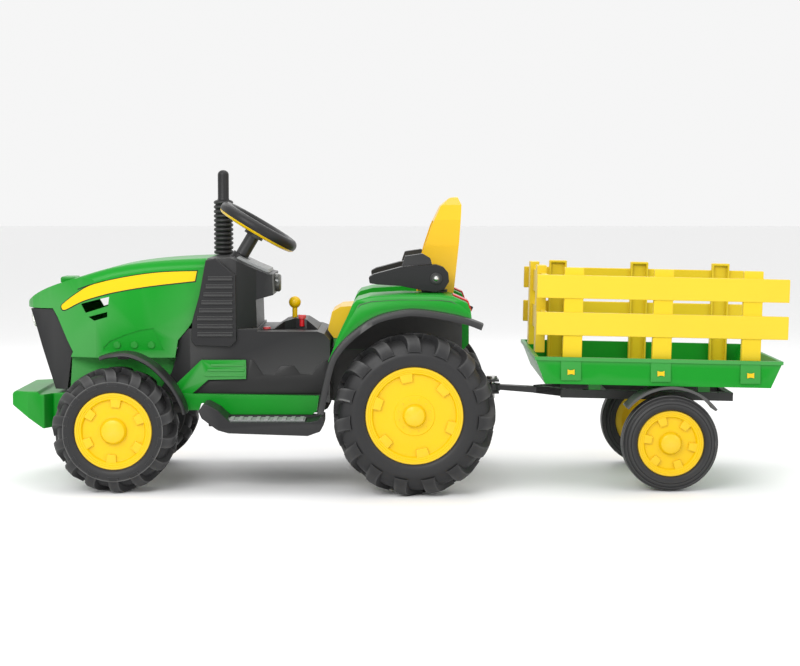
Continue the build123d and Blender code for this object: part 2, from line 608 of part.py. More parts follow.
def front_axle_beam():
    """Steel beam across the front with a kingpin at each end."""
    beam = block(FRONT_WHEEL_X - 12, FRONT_WHEEL_X + 12, -KINGPIN_Y + 18, KINGPIN_Y - 18, FRONT_BEAM_Z - 12,
                 FRONT_BEAM_Z + 21.8)
    for side in (-1, 1):
        y = side * KINGPIN_Y
        ears = rod_z(FRONT_WHEEL_X, y, 11, FRONT_BEAM_Z - 27, FRONT_BEAM_Z + 27)
        ears = ears + block(FRONT_WHEEL_X - 12, FRONT_WHEEL_X + 12, min(y, side * 128), max(y, side * 128),
                            FRONT_BEAM_Z - 27, FRONT_BEAM_Z + 27)
        gap = block(FRONT_WHEEL_X - 20, FRONT_WHEEL_X + 20, min(side * 136, side * 170), max(side * 136, side * 170),
                    FRONT_BEAM_Z - 20, FRONT_BEAM_Z + 20)
        pin = rod_z(FRONT_WHEEL_X, y, KINGPIN_R, FRONT_BEAM_Z - 27, FRONT_BEAM_Z + 27)
        beam = beam + (ears - gap) + pin
    return beam


def knuckle():
    """Steering knuckle on the tractor's left: a kingpin sleeve, a steering arm and the wheel's stub axle."""
    y = -KINGPIN_Y
    sleeve = rod_z(FRONT_WHEEL_X, y, 11, FRONT_BEAM_Z - 19.6, FRONT_BEAM_Z + 19.6)
    stub = rod_y(FRONT_WHEEL_X, FRONT_BEAM_Z, AXLE_R, -FRONT_OUTER_Y + 3, y)
    collar = rod_y(FRONT_WHEEL_X, FRONT_BEAM_Z, 10, y - 16, y)
    arm = block(FRONT_WHEEL_X, LINK_X + 6, y - 6, y + 6, LINK_Z + 0.4, LINK_Z + 6.4)
    pin = rod_z(LINK_X, y, LINK_PIN_R, LINK_Z - 9, LINK_Z + 3)
    solid = sleeve + stub + collar + arm + pin
    return solid - rod_z(FRONT_WHEEL_X, y, KINGPIN_R + RUNNING_GAP, 80, 200)


def tie_rod():
    """Round rod across the car with an eye over each knuckle pin and one over the shaft's crank pin."""
    low = LINK_Z - 6
    high = LINK_Z
    rod = Pos(LINK_X, 0, LINK_Z - 3) * Rot(90, 0, 0) * Cylinder(TIE_ROD_R, 2 * KINGPIN_Y - 24)
    for y in (-KINGPIN_Y, 0, KINGPIN_Y):
        rod = rod + rod_z(LINK_X, y, LINK_EYE_R + 5, low, high)
    for y in (-KINGPIN_Y, 0, KINGPIN_Y):
        rod = rod - rod_z(LINK_X, y, LINK_EYE_R, low - 10, high + 10)
    return rod


def steering_shaft():
    """Steel shaft with a crank arm and pin at its foot and a hub under the wheel."""
    shaft = STEER_PLANE * Pos(0, 0, -(SHAFT_LENGTH + 18) / 2) * Cylinder(COLUMN_R, SHAFT_LENGTH - 18)
    shaft = shaft + STEER_PLANE * Pos(0, 0, -52) * Cylinder(16, 50)
    arm = STEER_PLANE * Pos(SHAFT_ARM / 2, 0, -SHAFT_LENGTH + 4) * Box(SHAFT_ARM + 8, 14, 8)
    pin_top = LINK_Z + 14
    pin = rod_z(LINK_X, 0, LINK_PIN_R, LINK_Z - 9, pin_top)
    return shaft + arm + pin


def steering_rim():
    """Black steering wheel: a thick rim, three spokes and a centre boss."""
    ring = STEER_PLANE * Torus(STEER_RIM_R, STEER_TUBE_R)
    boss = STEER_PLANE * Pos(0, 0, -12) * Cylinder(24, 28)
    wheel = ring + boss
    for angle in (0, 120, 240):
        spoke = STEER_PLANE * Rot(0, 0, angle) * Pos(STEER_RIM_R / 2, 0, -7) * Box(STEER_RIM_R - 6, 22, 9)
        wheel = wheel + spoke
    cup = STEER_PLANE * Pos(0, 0, -24) * Cylinder(COLUMN_R, 12)
    return wheel - cup - steering_grip()


def steering_grip():
    """Yellow ring let into the underside of the steering wheel's rim."""
    ring = STEER_PLANE * Torus(STEER_RIM_R, STEER_TUBE_R + 0.6)
    band = STEER_PLANE * Pos(0, 0, -11) * (Cylinder(STEER_RIM_R + 20, 6) - Cylinder(STEER_RIM_R, 7))
    return ring & band


def accelerator_pedal():
    """Foot pedal on the right of the foot well, hinged at its front lower edge."""
    plate = side_plate([(PEDAL_X, PEDAL_Z - 5), (PEDAL_X, PEDAL_Z + 5), (PEDAL_X + 62, PEDAL_Z + 17),
                        (PEDAL_X + 64, PEDAL_Z + 9)], PEDAL_Y - 24, PEDAL_Y + 24)
    hub = rod_y(PEDAL_X, PEDAL_Z, 7, PEDAL_Y - 24, PEDAL_Y + 24)
    return plate + hub - rod_y(PEDAL_X, PEDAL_Z, 3 + RUNNING_GAP, PEDAL_Y - 30, PEDAL_Y + 30)


def pedal_pin():
    """Pedal pivot with its two ears standing on the right step bar."""
    pin = rod_y(PEDAL_X, PEDAL_Z, 3, PEDAL_Y - 30, PEDAL_Y + 30)
    for side in (-1, 1):
        y = PEDAL_Y + side * 27.5
        pin = pin + block(PEDAL_X - 6, PEDAL_X + 6, y - 2.5, y + 2.5, 168.4, PEDAL_Z + 6)
    return pin


# ---- drive ----
def gearmotor():
    """Geared motor inside the rear wheel on the tractor's left, with its output plate round the axle."""
    housing = rod_y(REAR_WHEEL_X, REAR_TYRE_R, 52, -205, -178)
    motor = rod_y(REAR_WHEEL_X - 34, REAR_TYRE_R + 62, 21, -178, -112)
    carrier = block(REAR_WHEEL_X - 60, REAR_WHEEL_X - 8, -205, -178, REAR_TYRE_R, REAR_TYRE_R + 74)
    foot = rod_y(REAR_WHEEL_X, REAR_TYRE_R, 22, -178, -95.3)
    solid = housing + motor + carrier + foot
    return solid - rod_y(REAR_WHEEL_X, REAR_TYRE_R, AXLE_R, -300, -80)


def rear_axle():
    """Steel axle rod through the chassis bosses and both rear wheels."""
    return rod_y(REAR_WHEEL_X, REAR_TYRE_R, AXLE_R, -REAR_OUTER_Y + 4, REAR_OUTER_Y - 4)


def hitch_plate():
    """Steel tongue under the tail with the hitch pin's hole."""
    tongue = block(100, HITCH_X + 16, -26, 26, HITCH_Z + 12, HITCH_Z + 17)
    web = block(100, 165, -26, 26, HITCH_Z + 17, HITCH_Z + 21)
    lower = block(170, HITCH_X + 16, -26, 26, HITCH_Z - 17, HITCH_Z - 12)
    back = block(166, 172, -26, 26, HITCH_Z - 17, HITCH_Z + 17)
    plate = tongue + lower + back
    return plate - rod_z(HITCH_X, 0, HITCH_PIN_R + RUNNING_GAP, 150, 300)


def hitch_pin():
    """Drop-in pin with a round head."""
    pin = rod_z(HITCH_X, 0, HITCH_PIN_R, HITCH_Z - 30, HITCH_Z + 17.3)
    return pin + rod_z(HITCH_X, 0, 13, HITCH_Z + 17.3, HITCH_Z + 24)


# ---- trailer ----
def pitched(shape):
    """Trailer pieces sit nose-up by the trailer's pitch, turned about its axle."""
    pivot = Pos(TRAILER_WHEEL_X, 0, TRAILER_TYRE_R)
    return pivot * Rot(0, TRAILER_PITCH, 0) * pivot.inverse() * shape


def trailer_frame():
    """Drawbar and two long rails in one steel frame, with an eye at the hitch and bosses on the axle."""
    eye = rod_z(HITCH_X, 0, 20, HITCH_Z - 11.5, HITCH_Z + 6)
    bar = side_plate([(HITCH_X, 215), (HITCH_X, 203), (395, 193), (395, 209)], -14, 14)
    for side in (-1, 1):
        arm = extrude(Plane.XY * make_face(Polyline((330, side * 8), (395, side * 70), (413, side * 70),
                                                    (360, side * 8), close=True)), 18)
        bar = bar + Pos(0, 0, 196) * arm
        rail_low = min(side * 54, side * 70)
        rail_high = max(side * 54, side * 70)
        bar = bar + block(390, 800, rail_low, rail_high, 193, 213)
        bar = bar + block(TRAILER_WHEEL_X - 14, TRAILER_WHEEL_X + 14, rail_low, rail_high, 95, 200)
    bar = bar + block(784, 800, -70, 70, 193, 213)
    bar = bar + block(480, 500, -70, 70, 193, 213)
    bar = pitched(bar) + eye
    bar = bar - rod_y(TRAILER_WHEEL_X, TRAILER_TYRE_R, AXLE_R, -100, 100)
    return bar - rod_z(HITCH_X, 0, HITCH_PIN_R + 1.5, 150, 300)


def trailer_axle():
    """Steel axle rod of the trailer."""
    return rod_y(TRAILER_WHEEL_X, TRAILER_TYRE_R, AXLE_R, -TRAILER_OUTER_Y + 4, TRAILER_OUTER_Y - 4)


def trailer_tray():
    """Green tray with sloping sides, a wide rim and an arch over each wheel."""
    low_z = TRAY_TOP_Z - TRAY_DEPTH
    centre_x = (TRAY_FRONT_X + TRAY_REAR_X) / 2
    length = TRAY_REAR_X - TRAY_FRONT_X
    width = 2 * TRAY_HALF_W
    outer = loft([Pos(centre_x, 0, low_z) * Rectangle(length - 50, width - 16),
                  Pos(centre_x, 0, TRAY_TOP_Z - 8) * Rectangle(length - 6, width - 8)])
    rim_plate = Pos(centre_x, 0, TRAY_TOP_Z - 4) * Box(length, width, 8)
    inner = loft([Pos(centre_x, 0, low_z + WALL) * Rectangle(length - 60, 2 * STAKE_OUTER_Y + 1),
                  Pos(centre_x, 0, TRAY_TOP_Z + 1) * Rectangle(length - 16, width - 18)])
    tray = outer + rim_plate - inner
    panel_y = STAKE_OUTER_Y - POST_T - 8
    panel = block(TRAY_FRONT_X + 50, TRAY_REAR_X - 50, -panel_y, panel_y, low_z + 1, low_z + WALL + PANEL_RISE)
    tray = tray + panel
    for x in (470, 730):
        for y in (-62, 62):
            tray = tray + block(x - 14, x + 14, y - 8, y + 8, 213.3, low_z + 1)
    return pitched(tray)


def stake_side():
    """Yellow side panel on the tractor's left: two planks across three posts that stand in the tray."""
    outer = -STAKE_OUTER_Y
    floor_z = TRAY_TOP_Z - TRAY_DEPTH + WALL + BODY_GAP
    posts = []
    for x in POST_X:
        post = block(x - POST_W / 2, x + POST_W / 2, outer + POST_SET, outer + POST_T, floor_z, POST_TOP_Z)
        groove = block(x - POST_W / 2 + 5, x + POST_W / 2 - 5, outer + PLANK_T, outer + POST_T + 1, floor_z - 1,
                       POST_TOP_Z - 6)
        posts.append(post - groove)
    planks = []
    for z in PLANK_Z:
        front = TRAY_FRONT_X + 2
        plank = block(front, PLANK_REAR_X, outer, outer + PLANK_T, z - PLANK_H / 2, z + PLANK_H / 2)
        planks.append(plank)
    solid = posts[0] + posts[1:] + planks
    return pitched(solid)


def stake_front():
    """Yellow front panel: two planks across two posts, between the side panels."""
    reach = STAKE_OUTER_Y - PLANK_T - BODY_GAP
    x = TRAY_FRONT_X + 8
    rim_z = TRAY_TOP_Z + BODY_GAP
    planks = []
    for z in PLANK_Z:
        planks.append(block(x + 8, x + 8 + PLANK_T, -reach, reach, z - PLANK_H / 2, z + PLANK_H / 2))
    posts = []
    for y in (-110, 110):
        posts.append(block(x, x + 22, y - 22, y + 22, rim_z, POST_TOP_Z))
    return pitched(planks[0] + planks[1:] + posts)


def trailer_mudguards():
    """Black mudguard over each trailer wheel, held under the tray."""
    guards = []
    for side in (-1, 1):
        low = min(side * 168, side * 240)
        high = max(side * 168, side * 240)
        guard = arc_band(TRAILER_WHEEL_X, TRAY_TOP_Z - TRAY_DEPTH - BODY_GAP - 132, 132, 126, 38, 142, low, high)
        guards.append(pitched(guard))
    return guards


# ---- the whole assembly ----
def wheel_places():
    """Name, centre and kind of each wheel; side is -1 on the tractor's left."""
    places = []
    for name, side in (("left", -1), ("right", 1)):
        front_y = side * (FRONT_OUTER_Y - FRONT_TYRE_W / 2)
        rear_y = side * (REAR_OUTER_Y - REAR_TYRE_W / 2)
        trailer_y = side * (TRAILER_OUTER_Y - TRAILER_TYRE_W / 2)
        places.append(("front", name, side, (FRONT_WHEEL_X, front_y, FRONT_TYRE_R)))
        places.append(("rear", name, side, (REAR_WHEEL_X, rear_y, REAR_TYRE_R)))
        places.append(("trailer", name, side, (TRAILER_WHEEL_X, trailer_y, TRAILER_TYRE_R)))
    return places


def pair(shape):
    """A left piece and its mirror image, as two separate solids in one node."""
    return [shape, mirrored(shape)]


def all_parts():
    """Every node of the assembly by name."""
    parts = {
        "hood_shell": hood_shell(), "front_grille": front_grille(), "headlight_lenses": headlight_lenses(),
        "front_weight": front_weight(), "chassis_shell": chassis_shell(), "battery": battery(),
        "side_grilles": pair(side_grille()), "dashboard_cowl": dashboard_cowl(), "dash_panel": dash_panel(),
        "gauge_dome": gauge_dome(), "console_dome": console_dome(), "gear_lever": gear_lever(),
        "mode_switch": mode_switch(), "power_button": power_button(),
        "pivot_pins": [lever_pin(), pedal_pin()], "lower_panels": pair(lower_panel()),
        "step_bars": pair(step_bar()), "step_treads": pair(step_tread()),
        "rear_fender_left": rear_fender(), "rear_fender_right": mirrored(rear_fender()),
        "fender_flares": pair(fender_flare()), "tail_light_lenses": pair(tail_light()),
        "seat_deck": seat_deck(), "seat_shell": seat_shell(),
        "armrest_left": armrest(), "armrest_right": mirrored(armrest()),
        "armrest_brackets": pair(armrest_bracket()), "exhaust_stack": exhaust_stack(),
        "front_fenders": pair(front_fender()), "front_axle_beam": front_axle_beam(),
        "knuckle_left": knuckle(), "knuckle_right": mirrored(knuckle()), "tie_rod": tie_rod(),
        "steering_shaft": steering_shaft(), "steering_rim": steering_rim(), "steering_grip": steering_grip(),
        "accelerator_pedal": accelerator_pedal(), "gearmotors": pair(gearmotor()), "rear_axle": rear_axle(),
        "hitch_plate": hitch_plate(), "hitch_pin": hitch_pin(),
        "trailer_frame": trailer_frame(), "trailer_axle": trailer_axle(), "trailer_tray": trailer_tray(),
        "stake_side_left": stake_side(), "stake_side_right": mirrored(stake_side()),
        "stake_front": stake_front(), "trailer_mudguards": trailer_mudguards()}
    tyres = {"front": lugged_tyre(FRONT_TYRE_R, FRONT_TYRE_W, FRONT_RIM_R, FRONT_LUGS),
             "rear": lugged_tyre(REAR_TYRE_R, REAR_TYRE_W, REAR_RIM_R, REAR_LUGS),
             "trailer": plain_tyre(TRAILER_TYRE_R, TRAILER_TYRE_W, TRAILER_RIM_R)}
    rims = {"front": rim(FRONT_RIM_R, FRONT_TYRE_W - 8, 0.34, 1),
            "rear": rim(REAR_RIM_R, REAR_TYRE_W - 8, 0.24, 1),
            "trailer": rim(TRAILER_RIM_R, TRAILER_TYRE_W - 4, 0.34, 1)}
    for kind, name, side, centre in wheel_places():
        tyre = tyres[kind]
        wheel_rim = rims[kind]
        if side < 0:
            tyre = mirror(tyre, about=Plane.XZ)
            wheel_rim = mirror(wheel_rim, about=Plane.XZ)
        parts[kind + "_tyre_" + name] = Pos(*centre) * tyre
        parts[kind + "_rim_" + name] = Pos(*centre) * wheel_rim
    return parts


def main():
    os.makedirs("parts", exist_ok=True)
    for name, shape in all_parts().items():
        if isinstance(shape, list):
            shape = Compound(children=shape)
        export_step(shape, "parts/" + name + ".step")


main()
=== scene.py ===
"""Studio scene of a battery ride-on tractor and its stake-side trailer, laid out as a Blender add-on."""
import math

import bpy
from bpy.props import FloatProperty, FloatVectorProperty, IntProperty, PointerProperty
from mathutils import Matrix, Vector


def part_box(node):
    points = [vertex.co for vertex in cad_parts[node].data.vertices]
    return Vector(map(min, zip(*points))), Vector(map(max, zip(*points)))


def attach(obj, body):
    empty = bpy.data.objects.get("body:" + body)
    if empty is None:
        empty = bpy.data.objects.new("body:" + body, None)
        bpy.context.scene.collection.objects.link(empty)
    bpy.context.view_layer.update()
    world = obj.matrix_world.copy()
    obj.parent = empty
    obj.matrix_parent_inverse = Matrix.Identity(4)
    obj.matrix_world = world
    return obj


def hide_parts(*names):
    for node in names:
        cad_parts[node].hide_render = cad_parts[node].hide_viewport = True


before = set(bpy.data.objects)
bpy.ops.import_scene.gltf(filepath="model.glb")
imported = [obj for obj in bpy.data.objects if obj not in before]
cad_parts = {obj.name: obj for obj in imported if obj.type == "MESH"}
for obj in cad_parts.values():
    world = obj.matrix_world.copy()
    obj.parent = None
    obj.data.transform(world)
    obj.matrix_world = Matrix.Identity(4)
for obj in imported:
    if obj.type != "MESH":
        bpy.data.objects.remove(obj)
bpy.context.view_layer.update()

bl_info = {
    "name": "Ride-on Tractor Builder",
    "version": (1, 0, 0),
    "blender": (4, 5, 0),
    "location": "3D View > Sidebar > Tractor",
    "description": "Models and finishes a ride-on tractor with its trailer on a packed frame",
    "category": "Object",
}


# ---- settings ----
class TractorColours(bpy.types.PropertyGroup):
    """Moulded-in colours of the toy."""
    green: FloatVectorProperty(name="Green", description="Hood, fenders and tray", subtype="COLOR", size=3,
                               default=(0.0, 0.240, 0.010), min=0, max=1)
    yellow: FloatVectorProperty(name="Yellow", description="Rims and lever", subtype="COLOR", size=3,
                                default=(0.72, 0.46, 0.0), min=0, max=1)
    seat: FloatVectorProperty(name="Seat yellow", description="Seat shell", subtype="COLOR", size=3,
                              default=(0.70, 0.42, 0.004), min=0, max=1)
    planks: FloatVectorProperty(name="Plank yellow", description="Trailer stake panels", subtype="COLOR",
                                size=3, default=(0.70, 0.50, 0.012), min=0, max=1)
    black: FloatVectorProperty(name="Black", description="Covers and flares", subtype="COLOR", size=3,
                               default=(0.012, 0.012, 0.013), min=0, max=1)
    tyre: FloatVectorProperty(name="Tyre black", description="Blow-moulded tyres", subtype="COLOR", size=3,
                              default=(0.018, 0.018, 0.019), min=0, max=1)
    grey: FloatVectorProperty(name="Grey", description="Dash panel and step treads", subtype="COLOR", size=3,
                              default=(0.26, 0.27, 0.27), min=0, max=1)
    red: FloatVectorProperty(name="Red", description="Tail lights, switch and button", subtype="COLOR",
                             size=3, default=(0.55, 0.006, 0.012), min=0, max=1)


class TractorSizes(bpy.types.PropertyGroup):
    """Sizes of the details that are modelled on the frame."""
    edge: FloatProperty(name="Edge radius", description="Radius on the moulded edges", default=0.0015,
                        min=0.0002, max=0.005, unit="LENGTH")
    stripe: FloatProperty(name="Stripe thickness", description="Thickness of the hood's decal",
                          default=0.0004, min=0.0001, max=0.002, unit="LENGTH")
    exhaust_rings: IntProperty(name="Exhaust rings", description="Rings of the exhaust's bellows",
                               default=12, min=4, max=20)


def colours():
    return bpy.context.scene.tractor_colours


def sizes():
    return bpy.context.scene.tractor_sizes


# ---- shader node groups ----
def new_group(name, inputs, outputs):
    """An empty shader group with float, colour or vector sockets."""
    kinds = {"float": "NodeSocketFloat", "colour": "NodeSocketColor", "vector": "NodeSocketVector"}
    group = bpy.data.node_groups.new(name, "ShaderNodeTree")
    for label, kind, default in inputs:
        socket = group.interface.new_socket(name=label, in_out="INPUT", socket_type=kinds[kind])
        if default is not None:
            socket.default_value = default
    for label, kind in outputs:
        group.interface.new_socket(name=label, in_out="OUTPUT", socket_type=kinds[kind])
    entry = group.nodes.new("NodeGroupInput")
    end = group.nodes.new("NodeGroupOutput")
    return group, entry, end


def moulded_group():
    """Injection-moulded plastic: faint colour drift, flow marks, fine scuffs and grain height."""
    if "Moulded plastic" in bpy.data.node_groups:
        return bpy.data.node_groups["Moulded plastic"]
    group, entry, end = new_group(
        "Moulded plastic",
        [("Colour", "colour", (0.5, 0.5, 0.5, 1)), ("Drift", "float", 0.08), ("Grain pitch", "float", 800.0),
         ("Roughness", "float", 0.35), ("Scuff", "float", 0.1)],
        [("Colour", "colour"), ("Roughness", "float"), ("Height", "float")])
    nodes = group.nodes
    links = group.links
    place = nodes.new("ShaderNodeTexCoord")
    drift = nodes.new("ShaderNodeTexNoise")
    drift.inputs["Scale"].default_value = 7.0
    drift.inputs["Detail"].default_value = 3.0
    links.new(place.outputs["Object"], drift.inputs["Vector"])
    centre = nodes.new("ShaderNodeMath")
    centre.operation = "SUBTRACT"
    centre.inputs[1].default_value = 0.5
    links.new(drift.outputs["Fac"], centre.inputs[0])
    amount = nodes.new("ShaderNodeMath")
    amount.operation = "MULTIPLY_ADD"
    amount.inputs[2].default_value = 1.0
    links.new(centre.outputs[0], amount.inputs[0])
    links.new(entry.outputs["Drift"], amount.inputs[1])
    tint = nodes.new("ShaderNodeVectorMath")
    tint.operation = "SCALE"
    links.new(entry.outputs["Colour"], tint.inputs[0])
    links.new(amount.outputs[0], tint.inputs["Scale"])
    links.new(tint.outputs["Vector"], end.inputs["Colour"])
    scratch = nodes.new("ShaderNodeTexNoise")
    scratch.inputs["Scale"].default_value = 46.0
    scratch.inputs["Detail"].default_value = 8.0
    scratch.inputs["Roughness"].default_value = 0.7
    links.new(place.outputs["Object"], scratch.inputs["Vector"])
    rough = nodes.new("ShaderNodeMath")
    rough.operation = "MULTIPLY_ADD"
    links.new(scratch.outputs["Fac"], rough.inputs[0])
    links.new(entry.outputs["Scuff"], rough.inputs[1])
    links.new(entry.outputs["Roughness"], rough.inputs[2])
    links.new(rough.outputs[0], end.inputs["Roughness"])
    grain = nodes.new("ShaderNodeTexNoise")
    grain.inputs["Detail"].default_value = 2.0
    links.new(place.outputs["Object"], grain.inputs["Vector"])
    links.new(entry.outputs["Grain pitch"], grain.inputs["Scale"])
    links.new(grain.outputs["Fac"], end.inputs["Height"])
    return group


def worn_group():
    """Paler rubbed edges and a little dust that settles on upward faces."""
    if "Rubbed edges and dust" in bpy.data.node_groups:
        return bpy.data.node_groups["Rubbed edges and dust"]
    group, entry, end = new_group(
        "Rubbed edges and dust",
        [("Colour", "colour", (0.5, 0.5, 0.5, 1)), ("Wear", "float", 0.3), ("Dust", "float", 0.05)],
        [("Colour", "colour"), ("Mask", "float")])
    nodes = group.nodes
    links = group.links
    shape = nodes.new("ShaderNodeNewGeometry")
    ridge = nodes.new("ShaderNodeMapRange")
    ridge.inputs["From Min"].default_value = 0.52
    ridge.inputs["From Max"].default_value = 0.60
    links.new(shape.outputs["Pointiness"], ridge.inputs["Value"])
    wear = nodes.new("ShaderNodeMath")
    wear.operation = "MULTIPLY"
    links.new(ridge.outputs["Result"], wear.inputs[0])
    links.new(entry.outputs["Wear"], wear.inputs[1])
    lighter = nodes.new("ShaderNodeMix")
    lighter.data_type = "RGBA"
    lighter.inputs["B"].default_value = (0.62, 0.62, 0.6, 1)
    links.new(wear.outputs[0], lighter.inputs["Factor"])
    links.new(entry.outputs["Colour"], lighter.inputs["A"])
    split = nodes.new("ShaderNodeSeparateXYZ")
    links.new(shape.outputs["Normal"], split.inputs[0])
    up = nodes.new("ShaderNodeMath")
    up.operation = "MULTIPLY"
    up.use_clamp = True
    links.new(split.outputs["Z"], up.inputs[0])
    links.new(entry.outputs["Dust"], up.inputs[1])
    dusty = nodes.new("ShaderNodeMix")
    dusty.data_type = "RGBA"
    dusty.inputs["B"].default_value = (0.55, 0.53, 0.5, 1)
    links.new(up.outputs[0], dusty.inputs["Factor"])
    links.new(lighter.outputs["Result"], dusty.inputs["A"])
    links.new(dusty.outputs["Result"], end.inputs["Colour"])
    links.new(wear.outputs[0], end.inputs["Mask"])
    return group


# ---- materials ----
def moulded_material(name, colour, roughness, drift=0.1, pitch=900.0, bump=0.06, scuff=0.12, wear=0.12,
                     dust=0.01, coat=0.0, shine=0.3):
    """A moulded plastic finish in the given colour."""
    if name in bpy.data.materials:
        return bpy.data.materials[name]
    material = bpy.data.materials.new(name)
    material.use_nodes = True
    nodes = material.node_tree.nodes
    links = material.node_tree.links
    shader = nodes["Principled BSDF"]
    shader.inputs["IOR"].default_value = 1.49
    shader.inputs["Specular IOR Level"].default_value = shine
    shader.inputs["Coat Weight"].default_value = coat
    shader.inputs["Coat Roughness"].default_value = 0.12
    plastic = nodes.new("ShaderNodeGroup")
    plastic.node_tree = moulded_group()
    plastic.inputs["Colour"].default_value = (*colour, 1)
    plastic.inputs["Drift"].default_value = drift
    plastic.inputs["Grain pitch"].default_value = pitch
    plastic.inputs["Roughness"].default_value = roughness - scuff / 2
    plastic.inputs["Scuff"].default_value = scuff
    worn = nodes.new("ShaderNodeGroup")
    worn.node_tree = worn_group()
    worn.inputs["Wear"].default_value = wear
    worn.inputs["Dust"].default_value = dust
    links.new(plastic.outputs["Colour"], worn.inputs["Colour"])
    links.new(worn.outputs["Colour"], shader.inputs["Base Color"])
    links.new(plastic.outputs["Roughness"], shader.inputs["Roughness"])
    relief = nodes.new("ShaderNodeBump")
    relief.inputs["Strength"].default_value = bump
    relief.inputs["Distance"].default_value = 0.001
    links.new(plastic.outputs["Height"], relief.inputs["Height"])
    links.new(relief.outputs["Normal"], shader.inputs["Normal"])
    return material


def green_plastic():
    return moulded_material("Green hood plastic", colours().green, 0.36, drift=0.16, bump=0.05, wear=0.08,
                            coat=0.03, shine=0.2)


def black_plastic():
    return moulded_material("Black cover plastic", colours().black, 0.42, drift=0.2, pitch=1100.0, bump=0.16,
                            scuff=0.16, wear=0.10, dust=0.012)


def tyre_plastic():
    return moulded_material("Blow-moulded tyre", colours().tyre, 0.46, drift=0.3, pitch=600.0, bump=0.2,
                            scuff=0.2, wear=0.16, dust=0.02)


def yellow_plastic():
    return moulded_material("Yellow rim plastic", colours().yellow, 0.34, drift=0.06, bump=0.05,
                            wear=0.05, coat=0.1)


def seat_plastic():
    return moulded_material("Yellow seat plastic", colours().seat, 0.36, drift=0.1, bump=0.08, wear=0.05,
                            coat=0.1)


def plank_plastic():
    return moulded_material("Yellow plank plastic", colours().planks, 0.38, drift=0.08, bump=0.08, wear=0.06)


def grey_plastic():
    return moulded_material("Grey step plastic", colours().grey, 0.42, drift=0.18, bump=0.15, wear=0.2)


def red_plastic():
    return moulded_material("Red switch plastic", colours().red, 0.25, drift=0.12, bump=0.04, coat=0.2)


def decal_yellow():
    return moulded_material("Yellow stripe film", (0.72, 0.50, 0.0), 0.3, drift=0.04, bump=0.02, wear=0.0)


def decal_black():
    return moulded_material("Black stripe border", (0.012, 0.012, 0.012), 0.35, drift=0.1, bump=0.02,
                            wear=0.0)


def metal_material(name, colour, roughness, stretch, bump):
    """Drawn or coated steel with fine marks along one direction."""
    if name in bpy.data.materials:
        return bpy.data.materials[name]
    material = bpy.data.materials.new(name)
    material.use_nodes = True
    nodes = material.node_tree.nodes
    links = material.node_tree.links
    shader = nodes["Principled BSDF"]
    place = nodes.new("ShaderNodeTexCoord")
    turn = nodes.new("ShaderNodeMapping")
    turn.inputs["Scale"].default_value = stretch
    links.new(place.outputs["Object"], turn.inputs["Vector"])
    marks = nodes.new("ShaderNodeTexNoise")
    marks.inputs["Scale"].default_value = 90.0
    marks.inputs["Detail"].default_value = 6.0
    links.new(turn.outputs["Vector"], marks.inputs["Vector"])
    ramp = nodes.new("ShaderNodeValToRGB")
    ramp.color_ramp.elements[0].color = (*[part * 0.8 for part in colour], 1)
    ramp.color_ramp.elements[1].color = (*[min(1, part * 1.15) for part in colour], 1)
    links.new(marks.outputs["Fac"], ramp.inputs["Fac"])
    links.new(ramp.outputs["Color"], shader.inputs["Base Color"])
    spread = nodes.new("ShaderNodeMapRange")
    spread.inputs["To Min"].default_value = roughness * 0.75
    spread.inputs["To Max"].default_value = roughness * 1.25
    links.new(marks.outputs["Fac"], spread.inputs["Value"])
    links.new(spread.outputs["Result"], shader.inputs["Roughness"])
    relief = nodes.new("ShaderNodeBump")
    relief.inputs["Strength"].default_value = bump
    relief.inputs["Distance"].default_value = 0.0005
    links.new(marks.outputs["Fac"], relief.inputs["Height"])
    links.new(relief.outputs["Normal"], shader.inputs["Normal"])
    return material


def zinc_steel():
    material = metal_material("Zinc-plated steel", (0.62, 0.62, 0.60), 0.28, (1, 0.1, 1), 0.1)
    material.node_tree.nodes["Principled BSDF"].inputs["Metallic"].default_value = 1.0
    return material


def coated_steel():
    return metal_material("Black coated steel", (0.02, 0.02, 0.021), 0.4, (1, 1, 1), 0.12)


def clear_lens():
    """Clear ribbed plastic over a bright reflector."""
    if "Clear ribbed lens" in bpy.data.materials:
        return bpy.data.materials["Clear ribbed lens"]
    material = bpy.data.materials.new("Clear ribbed lens")
    material.use_nodes = True
    nodes = material.node_tree.nodes
    links = material.node_tree.links
    shader = nodes["Principled BSDF"]
    shader.inputs["Metallic"].default_value = 0.35
    shader.inputs["Coat Weight"].default_value = 0.8
    shader.inputs["Coat Roughness"].default_value = 0.05
    place = nodes.new("ShaderNodeTexCoord")
    ribs = nodes.new("ShaderNodeTexWave")
    ribs.bands_direction = "Z"
    ribs.inputs["Scale"].default_value = 90.0
    ribs.inputs["Distortion"].default_value = 0.6
    links.new(place.outputs["Object"], ribs.inputs["Vector"])
    ramp = nodes.new("ShaderNodeValToRGB")
    ramp.color_ramp.elements[0].color = (0.34, 0.35, 0.30, 1)
    ramp.color_ramp.elements[1].color = (0.82, 0.83, 0.78, 1)
    links.new(ribs.outputs["Fac"], ramp.inputs["Fac"])
    links.new(ramp.outputs["Color"], shader.inputs["Base Color"])
    spread = nodes.new("ShaderNodeMapRange")
    spread.inputs["To Min"].default_value = 0.08
    spread.inputs["To Max"].default_value = 0.2
    links.new(ribs.outputs["Fac"], spread.inputs["Value"])
    links.new(spread.outputs["Result"], shader.inputs["Roughness"])
    relief = nodes.new("ShaderNodeBump")
    relief.inputs["Strength"].default_value = 0.5
    relief.inputs["Distance"].default_value = 0.001
    links.new(ribs.outputs["Fac"], relief.inputs["Height"])
    links.new(relief.outputs["Normal"], shader.inputs["Normal"])
    return material


def smoked_lens():
    return moulded_material("Smoked gauge lens", (0.10, 0.105, 0.10), 0.16, drift=0.3, bump=0.02,
                            scuff=0.06, wear=0.0, coat=0.6, shine=0.5)


